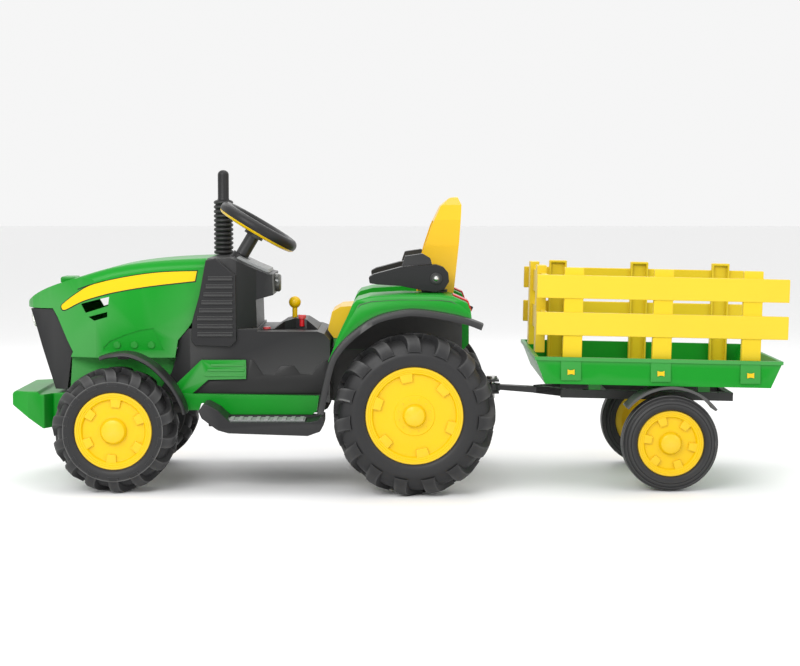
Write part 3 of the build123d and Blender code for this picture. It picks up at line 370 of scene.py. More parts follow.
# ---- modelling helpers ----
def start_piece(name, centre, kind="cube", **options):
    """Adds a primitive at its place with nothing else selected and returns the object."""
    bpy.ops.object.select_all(action="DESELECT")
    makers = {"cube": bpy.ops.mesh.primitive_cube_add, "cylinder": bpy.ops.mesh.primitive_cylinder_add,
              "circle": bpy.ops.mesh.primitive_circle_add, "sphere": bpy.ops.mesh.primitive_uv_sphere_add,
              "grid": bpy.ops.mesh.primitive_grid_add, "plane": bpy.ops.mesh.primitive_plane_add}
    makers[kind](location=centre, **options)
    piece = bpy.context.object
    piece.name = name
    piece.data.name = name
    return piece


def settle(piece):
    """Puts the piece's place into its mesh, so that the object sits at the origin unturned."""
    bpy.ops.object.select_all(action="DESELECT")
    piece.select_set(True)
    bpy.context.view_layer.objects.active = piece
    bpy.ops.object.transform_apply(location=True, rotation=True, scale=True)


def outward(piece):
    """Merges doubles and turns every face outwards."""
    bpy.ops.object.select_all(action="DESELECT")
    piece.select_set(True)
    bpy.context.view_layer.objects.active = piece
    bpy.ops.object.mode_set(mode="EDIT")
    bpy.ops.mesh.select_all(action="SELECT")
    bpy.ops.mesh.remove_doubles(threshold=0.00001)
    bpy.ops.mesh.normals_make_consistent(inside=False)
    bpy.ops.object.mode_set(mode="OBJECT")


def finish_piece(piece, material, body, angle=30.0, replaced=()):
    """Gives a modelled piece its finish, its body and the CAD nodes it stands for."""
    settle(piece)
    bpy.ops.object.shade_smooth_by_angle(angle=math.radians(angle))
    piece.data.materials.clear()
    piece.data.materials.append(material)
    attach(piece, body)
    if replaced:
        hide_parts(*replaced)
    return piece


def bevel_edges(piece, width, segments=2, angle=30.0):
    """Rounds the piece's sharp edges with an applied bevel."""
    rounding = piece.modifiers.new("Rounding", "BEVEL")
    rounding.width = width
    rounding.segments = segments
    rounding.limit_method = "ANGLE"
    rounding.angle_limit = math.radians(angle)
    rounding.use_clamp_overlap = True
    bpy.context.view_layer.objects.active = piece
    bpy.ops.object.modifier_apply(modifier=rounding.name)


def outline_plate(name, points, y_low, y_high):
    """A flat plate with an outline in X and Z: a filled circle's corners are set on it and extruded."""
    piece = start_piece(name, (0, 0, 0), "circle", vertices=len(points), radius=1, fill_type="NGON")
    for corner, (x, z) in zip(piece.data.vertices, points):
        corner.co = (x, y_low, z)
    bpy.ops.object.mode_set(mode="EDIT")
    bpy.ops.mesh.select_all(action="SELECT")
    bpy.ops.mesh.extrude_region_move(TRANSFORM_OT_translate={"value": (0, y_high - y_low, 0)})
    bpy.ops.mesh.select_all(action="SELECT")
    bpy.ops.mesh.normals_make_consistent(inside=False)
    bpy.ops.object.mode_set(mode="OBJECT")
    return piece


def copy_mirrored(piece, name):
    """A copy on the tractor's other side, with its own mesh and outward faces."""
    twin = piece.copy()
    twin.data = piece.data.copy()
    twin.name = name
    twin.data.name = name
    bpy.context.collection.objects.link(twin)
    twin.scale = (1, -1, 1)
    settle(twin)
    outward(twin)
    return twin


# ---- outlines ----
def smooth_line(points, steps=6, closed=False):
    """Points on a smooth curve through the given ones, for rounded outlines."""
    count = len(points)
    spans = count if closed else count - 1
    line = []
    for index in range(spans):
        before = points[(index - 1) % count] if closed or index else points[0]
        start = points[index]
        end = points[(index + 1) % count]
        after = points[(index + 2) % count] if closed or index + 2 < count else points[-1]
        for step in range(steps):
            t = step / steps
            line.append(tuple(0.5 * (2 * b + (c - a) * t + (2 * a - 5 * b + 4 * c - d) * t ** 2
                                     + (3 * b - a - 3 * c + d) * t ** 3)
                              for a, b, c, d in zip(before, start, end, after)))
    if not closed:
        line.append(points[-1])
    return line


def spun_profile(name, profile, steps, axis="Y"):
    """A closed profile of (radius, place along the axis), spun a full turn about it."""
    piece = start_piece(name, (0, 0, 0), "circle", vertices=len(profile), radius=1, fill_type="NOTHING")
    for corner, (radius, along) in zip(piece.data.vertices, profile):
        corner.co = (radius, along, 0) if axis == "Y" else (radius, 0, along)
    bpy.ops.object.mode_set(mode="EDIT")
    bpy.ops.mesh.select_all(action="SELECT")
    direction = (0, 1, 0) if axis == "Y" else (0, 0, 1)
    bpy.ops.mesh.spin(steps=steps, angle=2 * math.pi, center=(0, 0, 0), axis=direction, use_auto_merge=True)
    bpy.ops.object.mode_set(mode="OBJECT")
    outward(piece)
    return piece


def join_pieces(name, pieces):
    """Joins several meshes into the first one."""
    bpy.ops.object.select_all(action="DESELECT")
    for piece in pieces:
        piece.select_set(True)
    bpy.context.view_layer.objects.active = pieces[0]
    bpy.ops.object.join()
    pieces[0].name = name
    pieces[0].data.name = name
    return pieces[0]


def turned_copies(piece, count, offset=0.0):
    """Copies of a piece at equal angles about the Y axis, the first one turned by the offset."""
    copies = []
    for index in range(count):
        twin = piece.copy()
        twin.data = piece.data.copy()
        bpy.context.collection.objects.link(twin)
        twin.data.transform(Matrix.Rotation(math.radians(offset + index * 360 / count), 4, "Y"))
        copies.append(twin)
    return copies


# ---- wheels ----
def tractor_carcass(radius, half, bead, depth):
    """Cross-section of a lugged tyre without its lugs: bead, bulged sidewall, rounded shoulder and tread."""
    base = radius - depth
    side = [(bead, half - 0.010), (bead + 0.004, half - 0.0055), (bead + 0.012, half - 0.003),
            (bead + 0.026, half - 0.0018), (base - 0.026, half - 0.0055), (base - 0.012, half - 0.0125),
            (base - 0.004, half - 0.0215), (base, half - 0.033)]
    upper = smooth_line(side, 4)
    lower = [(across, -along) for across, along in reversed(upper)]
    return upper + lower


def tread_lug(name, radius, half, depth, width):
    """One lug: a bar that runs slanting from the tread's middle and wraps down over the shoulder."""
    lug = start_piece(name, (0, 0, 0), "cube", size=1)
    bpy.ops.object.mode_set(mode="EDIT")
    bpy.ops.mesh.subdivide(number_cuts=5)
    bpy.ops.object.mode_set(mode="OBJECT")
    base = radius - depth
    stations = [0.004, half - 0.040, half - 0.024, half - 0.012, half - 0.004, half - 0.001]
    tops = [radius, radius, radius - 0.0006, radius - 0.0050, radius - 0.0150, base - 0.0225]
    floors = [base - 0.006, base - 0.006, base - 0.008, base - 0.012, base - 0.022, base - 0.0270]
    slants = [1.55, 0.85, 0.45, 0.2, 0.05, 0.0]
    widths = [0.62, 0.72, 0.84, 0.92, 1.0, 1.12]
    for corner in lug.data.vertices:
        station = (corner.co.y + 0.5) * 5
        low = min(int(station), 4)
        share = station - low
        along = stations[low] * (1 - share) + stations[low + 1] * share
        top = tops[low] * (1 - share) + tops[low + 1] * share
        floor = floors[low] * (1 - share) + floors[low + 1] * share
        slant = slants[low] * (1 - share) + slants[low + 1] * share
        wide = widths[low] * (1 - share) + widths[low + 1] * share
        level = corner.co.z + 0.5
        reach = floor + (top - floor) * level
        flare = 1.0 + 0.22 * (1 - level)
        angle = (corner.co.x * wide * flare + slant) * width / radius
        corner.co = (reach * math.sin(angle), along, reach * math.cos(angle))
    outward(lug)
    bevel_edges(lug, 0.0012, 2, 38)
    return lug


class TRACTOR_OT_lugged_tyres(bpy.types.Operator):
    """Model the blow-moulded tractor tyres with bulged sidewalls and wrapped lugs"""
    bl_idname = "tractor.lugged_tyres"
    bl_label = "Lugged tyres"

    def execute(self, context):
        for kind, lug_count in (("front", 14), ("rear", 15)):
            low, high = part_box(kind + "_tyre_left")
            rim_low, rim_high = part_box(kind + "_rim_left")
            radius = (high[2] - low[2]) / 2 - 0.0002
            half = (high[1] - low[1]) / 2
            bead = (rim_high[2] - rim_low[2]) / 2 + 0.0003
            depth = 0.012
            carcass = spun_profile("carcass", tractor_carcass(radius, half, bead, depth), 120)
            width = 0.40 * 2 * math.pi * radius / lug_count
            lug = tread_lug("lug", radius, half, depth, width)
            other = copy_mirrored(lug, "lug_far")
            lugs = turned_copies(lug, lug_count) + turned_copies(other, lug_count, 180 / lug_count)
            bpy.data.objects.remove(lug)
            bpy.data.objects.remove(other)
            tyre = join_pieces(kind + "_tyre", [carcass, *lugs])
            for side in ("left", "right"):
                low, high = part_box(kind + "_tyre_" + side)
                middle = (Vector(low) + Vector(high)) / 2
                copy = tyre.copy()
                copy.data = tyre.data.copy()
                copy.name = kind + "_tyre_moulding_" + side
                copy.data.name = copy.name
                context.collection.objects.link(copy)
                if side == "left":
                    copy.data.transform(Matrix.Rotation(math.pi, 4, "Z"))
                copy.data.transform(Matrix.Translation(middle))
                finish_piece(copy, tyre_plastic(), kind + "_wheel_" + side, 32,
                             [kind + "_tyre_" + side])
            bpy.data.objects.remove(tyre)
        return {"FINISHED"}


class TRACTOR_OT_trailer_tyres(bpy.types.Operator):
    """Model the trailer's smooth tyres with their moulded rings"""
    bl_idname = "tractor.trailer_tyres"
    bl_label = "Trailer tyres"

    def execute(self, context):
        for side in ("left", "right"):
            low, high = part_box("trailer_tyre_" + side)
            rim_low, rim_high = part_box("trailer_rim_" + side)
            radius = (high[2] - low[2]) / 2 - 0.0002
            half = (high[1] - low[1]) / 2
            bead = (rim_high[2] - rim_low[2]) / 2 + 0.0003
            upper = [(bead, half - 0.007), (bead + 0.003, half - 0.003), (bead + 0.008, half - 0.001),
                     (bead + 0.014, half - 0.0004), (bead + 0.0145, half - 0.0022),
                     (bead + 0.0165, half - 0.0024), (bead + 0.017, half - 0.0012),
                     (radius - 0.0125, half - 0.0036), (radius - 0.0120, half - 0.0062),
                     (radius - 0.0098, half - 0.0072), (radius - 0.0088, half - 0.0062),
                     (radius - 0.0042, half - 0.0120), (radius - 0.0040, half - 0.0150),
                     (radius - 0.0022, half - 0.0165), (radius - 0.0012, half - 0.0160),
                     (radius, half - 0.0220), (radius, 0.0022), (radius - 0.0018, 0.0012)]
            lower = [(across, -along) for across, along in reversed(upper)]
            tyre = spun_profile("trailer_tyre_moulding_" + side, upper + lower, 144)
            bevel_edges(tyre, 0.0006, 2, 30)
            middle = (Vector(low) + Vector(high)) / 2
            tyre.data.transform(Matrix.Translation(middle))
            finish_piece(tyre, tyre_plastic(), "trailer_wheel_" + side, 30,
                         ["trailer_tyre_" + side])
        return {"FINISHED"}


def rim_disc(name, radius, half, hub, ring):
    """A rim spun from its section: flange, stepped bead seat, dished face, hub ring and domed cap."""
    face = half - 0.014
    section = [(0.0002, face + 0.0172), (hub * 0.55, face + 0.0164), (hub * 0.85, face + 0.0130),
               (hub, face + 0.0070), (hub + 0.0012, face + 0.0012), (hub + 0.004, face + 0.0004)]
    if ring:
        section += [(ring - 0.002, face + 0.0004), (ring, face - 0.0012), (ring + 0.0025, face - 0.0014)]
    section += [(radius - 0.0205, face - 0.0018), (radius - 0.0175, face - 0.0008),
                (radius - 0.0150, face + 0.0050), (radius - 0.0138, face + 0.0062),
                (radius - 0.0105, face + 0.0064), (radius - 0.0095, face + 0.0080),
                (radius - 0.0062, face + 0.0082), (radius - 0.0050, face + 0.0098),
                (radius - 0.0012, face + 0.0098), (radius, face + 0.0085), (radius, -half + 0.009),
                (radius - 0.016, -half + 0.009), (radius - 0.016, face - 0.012), (0.0002, face - 0.012)]
    return spun_profile(name, section, 128)


def rim_tab(name, radius, half):
    """One raised tab that runs inwards from the flange."""
    face = half - 0.014
    tab = start_piece(name, (0, face, 0), "cube", size=1)
    outer = radius - 0.0145
    inner = radius - 0.0345
    for corner in tab.data.vertices:
        far = corner.co.z > 0
        front = corner.co.y > 0
        half_wide = 0.145 * radius if far else 0.118 * radius
        half_wide *= 0.93 if front else 1.04
        reach = outer if far else inner + (0.001 if front else 0)
        corner.co = (math.copysign(half_wide, corner.co.x), (0.0052 if front else -0.004), reach)
    bevel_edges(tab, 0.0011, 3, 30)
    return tab


class TRACTOR_OT_rims(bpy.types.Operator):
    """Model the yellow rims with stepped flanges, raised tabs and domed hub caps"""
    bl_idname = "tractor.rims"
    bl_label = "Rims"

    def execute(self, context):
        for kind, hub_share, ring_share, first_turn in (("front", 0.34, 0, -5), ("rear", 0.235, 0.425, 12),
                                                        ("trailer", 0.34, 0, 20)):
            for side in ("left", "right"):
                low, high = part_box(kind + "_rim_" + side)
                tyre_low, tyre_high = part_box(kind + "_tyre_" + side)
                radius = (high[2] - low[2]) / 2
                half = (tyre_high[1] - tyre_low[1]) / 2 - 0.005
                disc = rim_disc("disc", radius, half, hub_share * radius, ring_share * radius)
                tab = rim_tab("tab", radius, half)
                tabs = turned_copies(tab, 6, first_turn)
                bpy.data.objects.remove(tab)
                extras = []
                if ring_share:
                    stud = start_piece("stud", (0, half - 0.0136, 0.335 * radius), "cylinder", vertices=16,
                                       radius=0.0022, depth=0.0016, rotation=(math.pi / 2, 0, 0))
                    settle(stud)
                    bevel_edges(stud, 0.0004, 2)
                    extras = turned_copies(stud, 12, 15)
                    bpy.data.objects.remove(stud)
                rim = join_pieces(kind + "_rim_moulding_" + side, [disc, *tabs, *extras])
                if side == "left":
                    rim.data.transform(Matrix.Rotation(math.pi, 4, "Z"))
                middle = (Vector(tyre_low) + Vector(tyre_high)) / 2
                rim.data.transform(Matrix.Translation(middle))
                finish_piece(rim, yellow_plastic(), kind + "_wheel_" + side, 30,
                             [kind + "_rim_" + side])
        return {"FINISHED"}


# ---- hood, trailer, armrest, fender and body details ----
HOOD_FLANK = [(-0.878, 0.026), (-0.869, 0.052), (-0.858, 0.072), (-0.838, 0.090), (-0.700, 0.140),
              (-0.430, 0.140)]


def flank_y(x):
    """Half width of the hood at a place along it."""
    for (x_low, y_low), (x_high, y_high) in zip(HOOD_FLANK, HOOD_FLANK[1:]):
        if x <= x_high:
            return y_low + (y_high - y_low) * (x - x_low) / (x_high - x_low)
    return HOOD_FLANK[-1][1]


def place_along(line, share):
    """The point at a share of a line's points, from 0 to 1."""
    place = min(max(share, 0.0), 1.0) * (len(line) - 1)
    low = min(int(place), len(line) - 2)
    part = place - low
    return tuple(a * (1 - part) + b * part for a, b in zip(line[low], line[low + 1]))


def flank_film(name, top, bottom, lift, cuts=48):
    """A thin film on the hood's left flank, between an upper and a lower line given in X and Z."""
    film = start_piece(name, (0, 0, 0), "grid", x_subdivisions=cuts, y_subdivisions=2, size=1)
    upper = smooth_line(top, 8)
    lower = smooth_line(bottom, 8)
    for corner in film.data.vertices:
        x_top, z_top = place_along(upper, corner.co.x + 0.5)
        x_low, z_low = place_along(lower, corner.co.x + 0.5)
        share = corner.co.y + 0.5
        x = x_low + (x_top - x_low) * share
        corner.co = (x, -flank_y(x) - lift, z_low + (z_top - z_low) * share)
    body = film.modifiers.new("Film", "SOLIDIFY")
    body.thickness = lift + 0.0012
    body.offset = 1 if film.data.polygons[0].normal.y > 0 else -1
    bpy.ops.object.modifier_apply(modifier=body.name)
    outward(film)
    return film


def ruled_plate(name, upper, lower, y_upper, y_lower, thickness):
    """A thin skin between two lines given in X and Z, each at its own Y."""
    plate = start_piece(name, (0, 0, 0), "grid", x_subdivisions=48, y_subdivisions=4, size=1)
    high = smooth_line(upper, 6)
    low = smooth_line(lower, 6)
    for corner in plate.data.vertices:
        share = corner.co.y + 0.5
        x_top, z_top = place_along(high, corner.co.x + 0.5)
        x_low, z_low = place_along(low, corner.co.x + 0.5)
        bulge = 0.004 * math.sin(share * math.pi)
        corner.co = (x_low + (x_top - x_low) * share, y_lower + (y_upper - y_lower) * share - bulge,
                     z_low + (z_top - z_low) * share)
    body = plate.modifiers.new("Skin", "SOLIDIFY")
    body.thickness = thickness
    body.offset = 0
    bpy.ops.object.modifier_apply(modifier=body.name)
    outward(plate)
    return plate


def both_sides(piece, material, body, angle=30.0):
    """Finishes a piece and its mirror image on the other side."""
    twin = copy_mirrored(piece, piece.name.replace("_left", "_right"))
    finish_piece(piece, material, body, angle)
    finish_piece(twin, material, body, angle)


def swept_shell(name, line, section, thickness, y_middle=0.0, shares=None, rounding=0.0):
    """A shell that follows a line in X and Z with a cross-section of (Y, drop) points, thickened inwards."""
    rows = len(line) - 1
    columns = len(section) - 1
    shell = start_piece(name, (0, 0, 0), "grid", x_subdivisions=rows, y_subdivisions=columns, size=1)
    for corner in shell.data.vertices:
        row = round((corner.co.x + 0.5) * rows)
        across, drop = section[round((corner.co.y + 0.5) * columns)]
        before = line[max(row - 1, 0)]
        after = line[min(row + 1, rows)]
        run = math.hypot(after[0] - before[0], after[1] - before[1])
        normal = (-(after[1] - before[1]) / run, (after[0] - before[0]) / run)
        share = place_along(shares, row / rows) if shares else (1.0, 1.0)
        corner.co = (line[row][0] - normal[0] * drop * share[1], y_middle + across * share[0],
                     line[row][1] - normal[1] * drop * share[1])
    body = shell.modifiers.new("Wall", "SOLIDIFY")
    body.thickness = thickness
    body.offset = -1
    bpy.ops.object.modifier_apply(modifier=body.name)
    outward(shell)
    if rounding:
        bevel_edges(shell, rounding, 3, 50)
    return shell


class TRACTOR_OT_hood_films(bpy.types.Operator):
    """Lay the plain yellow stripe with its black border and the dark slot on both flanks of the hood"""
    bl_idname = "tractor.hood_films"
    bl_label = "Hood stripes and slots"

    def execute(self, context):
        film = sizes().stripe
        top = [(-0.784, 0.4160), (-0.7800, 0.4240), (-0.7460, 0.4490), (-0.7065, 0.4700), (-0.6295, 0.4880),
               (-0.5480, 0.4990), (-0.4620, 0.5020)]
        bottom = [(-0.784, 0.4150), (-0.7750, 0.4105), (-0.7350, 0.4300), (-0.6950, 0.4430),
                  (-0.6500, 0.4540), (-0.5720, 0.4670), (-0.4670, 0.4790)]
        border_top = [(x - (0.0022 if index == 0 else 0) + (0.0022 if index == 6 else 0), z + 0.0019)
                      for index, (x, z) in enumerate(top)]
        border_bottom = [(x - (0.0022 if index == 0 else 0) + (0.0022 if index == 6 else 0), z - 0.0026)
                         for index, (x, z) in enumerate(bottom)]
        border = flank_film("stripe_border_left", border_top, border_bottom, film)
        both_sides(border, decal_black(), "tractor")
        stripe = flank_film("hood_stripe_left", top, bottom, 2 * film)
        both_sides(stripe, decal_yellow(), "tractor")
        slot_top = [(-0.7430, 0.4600), (-0.7110, 0.4710), (-0.6760, 0.4800)]
        slot_bottom = [(-0.7430, 0.4575), (-0.7110, 0.4683), (-0.6760, 0.4770)]
        slot = flank_film("hood_slot_left", slot_top, slot_bottom, film)
        both_sides(slot, decal_black(), "tractor")
        return {"FINISHED"}


class TRACTOR_OT_trailer_clips(bpy.types.Operator):
    """Put the yellow clips of the stake posts on the tray's sides, each on its raised pad"""
    bl_idname = "tractor.trailer_clips"
    bl_label = "Trailer clips"

    def execute(self, context):
        pads = []
        clips = []
        for x, z in ((0.400, 0.276), (0.605, 0.2725), (0.8095, 0.268)):
            pad = start_piece("pad", (x, -0.2362, z + 0.004), "cube", size=1)
            pad.scale = (0.046, 0.0040, 0.046)
            settle(pad)
            bevel_edges(pad, 0.0012, 2)
            pads.append(pad)
            clip = start_piece("clip", (x, -0.2385, z), "cube", size=1)
            clip.scale = (0.016, 0.0060, 0.013)
            settle(clip)
            bpy.ops.object.mode_set(mode="EDIT")
            bpy.ops.mesh.subdivide(number_cuts=2)
            bpy.ops.object.mode_set(mode="OBJECT")
            for corner in clip.data.vertices:
                if abs(corner.co.x - x) < 0.004 and abs(corner.co.z - z) > 0.006:
                    corner.co.z = z + math.copysign(0.0045, corner.co.z - z)
            bevel_edges(clip, 0.0008, 2, 40)
            clips.append(clip)
        both_sides(join_pieces("post_pads_left", pads), green_plastic(), "trailer")
        both_sides(join_pieces("post_clips_left", clips), yellow_plastic(), "trailer")
        return {"FINISHED"}


ARMREST_PIVOT_X = 0.093
ARMREST_PIVOT_Z = 0.487
WASHER_Y = -0.188
SCREW_Y = -0.1905
SCREW_FLATNESS = 0.42


class TRACTOR_OT_armrest_details(bpy.types.Operator):
    """Put the washer and the steel pivot screw on both armrests"""
    bl_idname = "tractor.armrest_details"
    bl_label = "Armrest details"

    def execute(self, context):
        washer = start_piece("armrest_washer_left", (ARMREST_PIVOT_X, WASHER_Y, ARMREST_PIVOT_Z),
                             "cylinder", vertices=48, radius=0.0135, depth=0.005,
                             rotation=(math.pi / 2, 0, 0))
        settle(washer)
        bevel_edges(washer, 0.0012, 2)
        both_sides(washer, black_plastic(), "tractor")
        screw = start_piece("armrest_screw_left", (ARMREST_PIVOT_X, SCREW_Y, ARMREST_PIVOT_Z), "sphere",
                            segments=32, ring_count=16, radius=0.0068)
        screw.scale = (1, SCREW_FLATNESS, 1)
        both_sides(screw, zinc_steel(), "tractor", 60)
        return {"FINISHED"}


class TRACTOR_OT_fender_mouldings(bpy.types.Operator):
    """Model the crowned front fenders and the rear flares, with tapered tips and rolled edges"""
    bl_idname = "tractor.fender_mouldings"
    bl_label = "Fender mouldings"

    def execute(self, context):
        edge = [(-0.043, 0.0075), (-0.0415, 0.0040), (-0.037, 0.0012), (-0.026, 0.0), (0.0, -0.0008),
                (0.026, 0.0), (0.037, 0.0012), (0.0415, 0.0040), (0.043, 0.0075)]
        front_line = smooth_line([(-0.6765, 0.3105), (-0.653, 0.3180), (-0.615, 0.3215), (-0.581, 0.3120),
                                  (-0.547, 0.2905), (-0.513, 0.2550), (-0.495, 0.2280), (-0.482, 0.2000),
                                  (-0.4775, 0.1810)], 5)
        fender = swept_shell("front_fender_left", front_line, edge, 0.0065, -0.219, [(0.62, 1.0),
                                                                                     (0.95, 1.0),
                                                                                     (1.0, 1.0),
                                                                                     (1.0, 1.0),
                                                                                     (1.0, 1.0),
                                                                                     (0.97, 1.0),
                                                                                     (0.86, 1.0)], 0.0012)
        bracket = start_piece("fender_bracket", (-0.629, -0.1632, 0.307), "cube", size=1)
        bracket.scale = (0.026, 0.0456, 0.014)
        settle(bracket)
        bevel_edges(bracket, 0.002, 2)
        fender = join_pieces("front_fender_left", [fender, bracket])
        twin = copy_mirrored(fender, "front_fender_right")
        pair = join_pieces("front_fender_mouldings", [fender, twin])
        finish_piece(pair, black_plastic(), "tractor", 35, ["front_fenders"])
        rear_line = smooth_line([(-0.1765, 0.190), (-0.1635, 0.255), (-0.1485, 0.310), (-0.1250, 0.346),
                                 (-0.0910, 0.378), (-0.0460, 0.407), (0.010, 0.4215), (0.055, 0.4235),
                                 (0.122, 0.4135), (0.167, 0.4025), (0.1975, 0.3910)], 5)
        band = [(-0.0208, 0.0150), (-0.0206, 0.0065), (-0.0180, 0.0022), (-0.012, 0.0003), (0.0, 0.0),
                (0.0208, 0.0)]
        flare = swept_shell("fender_flare_left", rear_line, band, 0.0085, -0.2933,
                            [(1.0, 1.0), (1.0, 1.0), (1.0, 1.0), (1.0, 1.0), (1.0, 1.0), (1.0, 1.0)], 0.0012)
        twin = copy_mirrored(flare, "fender_flare_right")
        pair = join_pieces("fender_flare_mouldings", [flare, twin])
        finish_piece(pair, black_plastic(), "tractor", 35, ["fender_flares"])
        return {"FINISHED"}


class TRACTOR_OT_body_details(bpy.types.Operator):
    """Line the rear wheel arches, add the fender skirts and the sills, and raise the chassis panels"""
    bl_idname = "tractor.body_details"
    bl_label = "Arches, sills and panels"

    def execute(self, context):
        arch = [(-0.1395, 0.3020), (-0.1190, 0.3500), (-0.1025, 0.3850), (-0.0850, 0.4265), (-0.0795, 0.4325),
                (-0.0550, 0.4395), (0.0100, 0.4435), (0.1010, 0.4425), (0.1260, 0.4395), (0.1510, 0.4260),
                (0.1558, 0.4110)]
        roof = swept_shell("arch_roof", arch, [(-0.083, 0.0), (0.0, 0.0), (0.083, 0.0)], 0.0012, -0.1878)
        wall = outline_plate("arch_wall", [*arch, (0.1558, 0.3170), (-0.1330, 0.3170)], -0.1062, -0.1044)
        both_sides(join_pieces("arch_liner_left", [roof, wall]), black_plastic(), "tractor")
        skirt = ruled_plate("fender_skirt_left",
                            [(-0.1430, 0.3220), (-0.1300, 0.3590), (-0.1030, 0.4150), (-0.0880, 0.4370),
                             (-0.0580, 0.4460), (-0.0130, 0.4490), (0.0440, 0.4490), (0.1000, 0.4480),
                             (0.1450, 0.4390), (0.1690, 0.4200)],
                            [(-0.1485, 0.3080), (-0.1350, 0.3290), (-0.1130, 0.3560), (-0.0800, 0.3840),
                             (-0.0460, 0.4050), (-0.0050, 0.4170), (0.0440, 0.4215), (0.0950, 0.4170),
                             (0.1380, 0.4080), (0.1720, 0.3985)], -0.2640, -0.2745, 0.0024)
        both_sides(skirt, green_plastic(), "tractor")
        sill = start_piece("step_sill_left", (-0.3050, -0.1600, 0.1560), "cube", size=1)
        sill.scale = (0.262, 0.010, 0.030)
        settle(sill)
        bevel_edges(sill, 0.003, 3)
        both_sides(sill, black_plastic(), "tractor")
        panel = outline_plate("chassis_panel_left",
                              [(-0.3390, 0.2960), (-0.3300, 0.2935), (-0.3090, 0.2610), (-0.2830, 0.2610),
                               (-0.2670, 0.2820), (-0.2370, 0.2820), (-0.2230, 0.2630), (-0.1950, 0.2610),
                               (-0.1760, 0.2890), (-0.1575, 0.2960), (-0.1575, 0.2150), (-0.4700, 0.2150),
                               (-0.4340, 0.2490), (-0.3490, 0.2510)], -0.1520, -0.1498)
        bevel_edges(panel, 0.0007, 2)
        both_sides(panel, decal_black(), "tractor")
        return {"FINISHED"}


class TRACTOR_OT_exhaust(bpy.types.Operator):
    """Spin the exhaust's rounded bellows and its pipe with the domed tip"""
    bl_idname = "tractor.exhaust"
    bl_label = "Exhaust"

    def execute(self, context):
        low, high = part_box("exhaust_stack")
        rings = sizes().exhaust_rings
        foot = 0.5325
        bellows_top = 0.6650
        pitch = (bellows_top - foot) / rings
        profile = [(0.0095, low[2]), (0.0095, foot)]
        for ring in range(rings):
            for share, radius in ((0.04, 0.0195), (0.2, 0.0228), (0.4, 0.0239), (0.6, 0.0239), (0.8, 0.0228),
                                  (0.96, 0.0195)):
                profile.append((radius, foot + (ring + share) * pitch))
        profile += [(0.0200, bellows_top), (0.0150, bellows_top + 0.0010), (0.0136, bellows_top + 0.0050)]
        tip = high[2] - 0.0002
        for step in range(7):
            turn = math.radians(step * 15)
            profile.append((0.0136 - 0.0120 * (1 - math.cos(turn)), tip - 0.0120 * (1 - math.sin(turn))))
        stack = spun_profile("exhaust_moulding", [(0.0001, low[2]), *profile, (0.0001, tip)], 64, "Z")
        stack.data.transform(Matrix.Translation(((low[0] + high[0]) / 2, (low[1] + high[1]) / 2, 0)))
        finish_piece(stack, black_plastic(), "tractor", 50, ["exhaust_stack"])
        return {"FINISHED"}


# ---- finishes on the CAD nodes ----
NODE_FINISHES = {green_plastic: ["hood_shell", "front_weight", "lower_panels", "rear_fender_left",
                                 "rear_fender_right", "seat_deck", "trailer_tray"],
                 black_plastic: ["front_grille", "chassis_shell", "side_grilles", "dashboard_cowl",
                                 "console_dome", "step_bars", "fender_flares", "armrest_left",
                                 "armrest_right", "armrest_brackets", "exhaust_stack", "front_fenders",
                                 "steering_rim", "accelerator_pedal", "gearmotors", "trailer_mudguards",
                                 "battery"], tyre_plastic: ["front_tyre_left", "front_tyre_right",
                                                            "rear_tyre_left", "rear_tyre_right",
                                                            "trailer_tyre_left", "trailer_tyre_right"],
                 yellow_plastic: ["front_rim_left", "front_rim_right", "rear_rim_left", "rear_rim_right",
                                  "trailer_rim_left", "trailer_rim_right", "gear_lever", "steering_grip"],
                 seat_plastic: ["seat_shell"], plank_plastic: ["stake_side_left", "stake_side_right",
                                                               "stake_front"],
                 grey_plastic: ["dash_panel", "step_treads"], red_plastic: ["tail_light_lenses",
                                                                            "mode_switch",
                                                                            "power_button"],
                 clear_lens: ["headlight_lenses"], smoked_lens: ["gauge_dome"], zinc_steel: ["pivot_pins",
                                                                                             "tie_rod",
                                                                                             "rear_axle",
                                                                                             "trailer_axle",
                                                                                             "hitch_pin"],
                 coated_steel: ["front_axle_beam", "knuckle_left", "knuckle_right", "steering_shaft",
                                "hitch_plate", "trailer_frame"], }
EDGE_SHARES = {"front_weight": 2.4, "step_bars": 4.0, "stake_side_left": 1.2, "stake_side_right": 1.2,
               "stake_front": 1.2, "lower_panels": 1.0, "chassis_shell": 1.0, "dash_panel": 1.0,
               "hitch_plate": 0.5, "accelerator_pedal": 0.7, "trailer_frame": 0.8, "front_grille": 1.2,
               "dashboard_cowl": 1.6, "battery": 1.3, "seat_shell": 3.6, "armrest_left": 1.4,
               "armrest_right": 1.4, "rear_fender_left": 1.2, "rear_fender_right": 1.2,
               "tail_light_lenses": 1.2, "console_dome": 2.0, "side_grilles": 0.5}
FACETED_NODES = ["seat_shell", "armrest_left", "armrest_right", "console_dome", "step_bars",
                 "rear_fender_left", "rear_fender_right"]


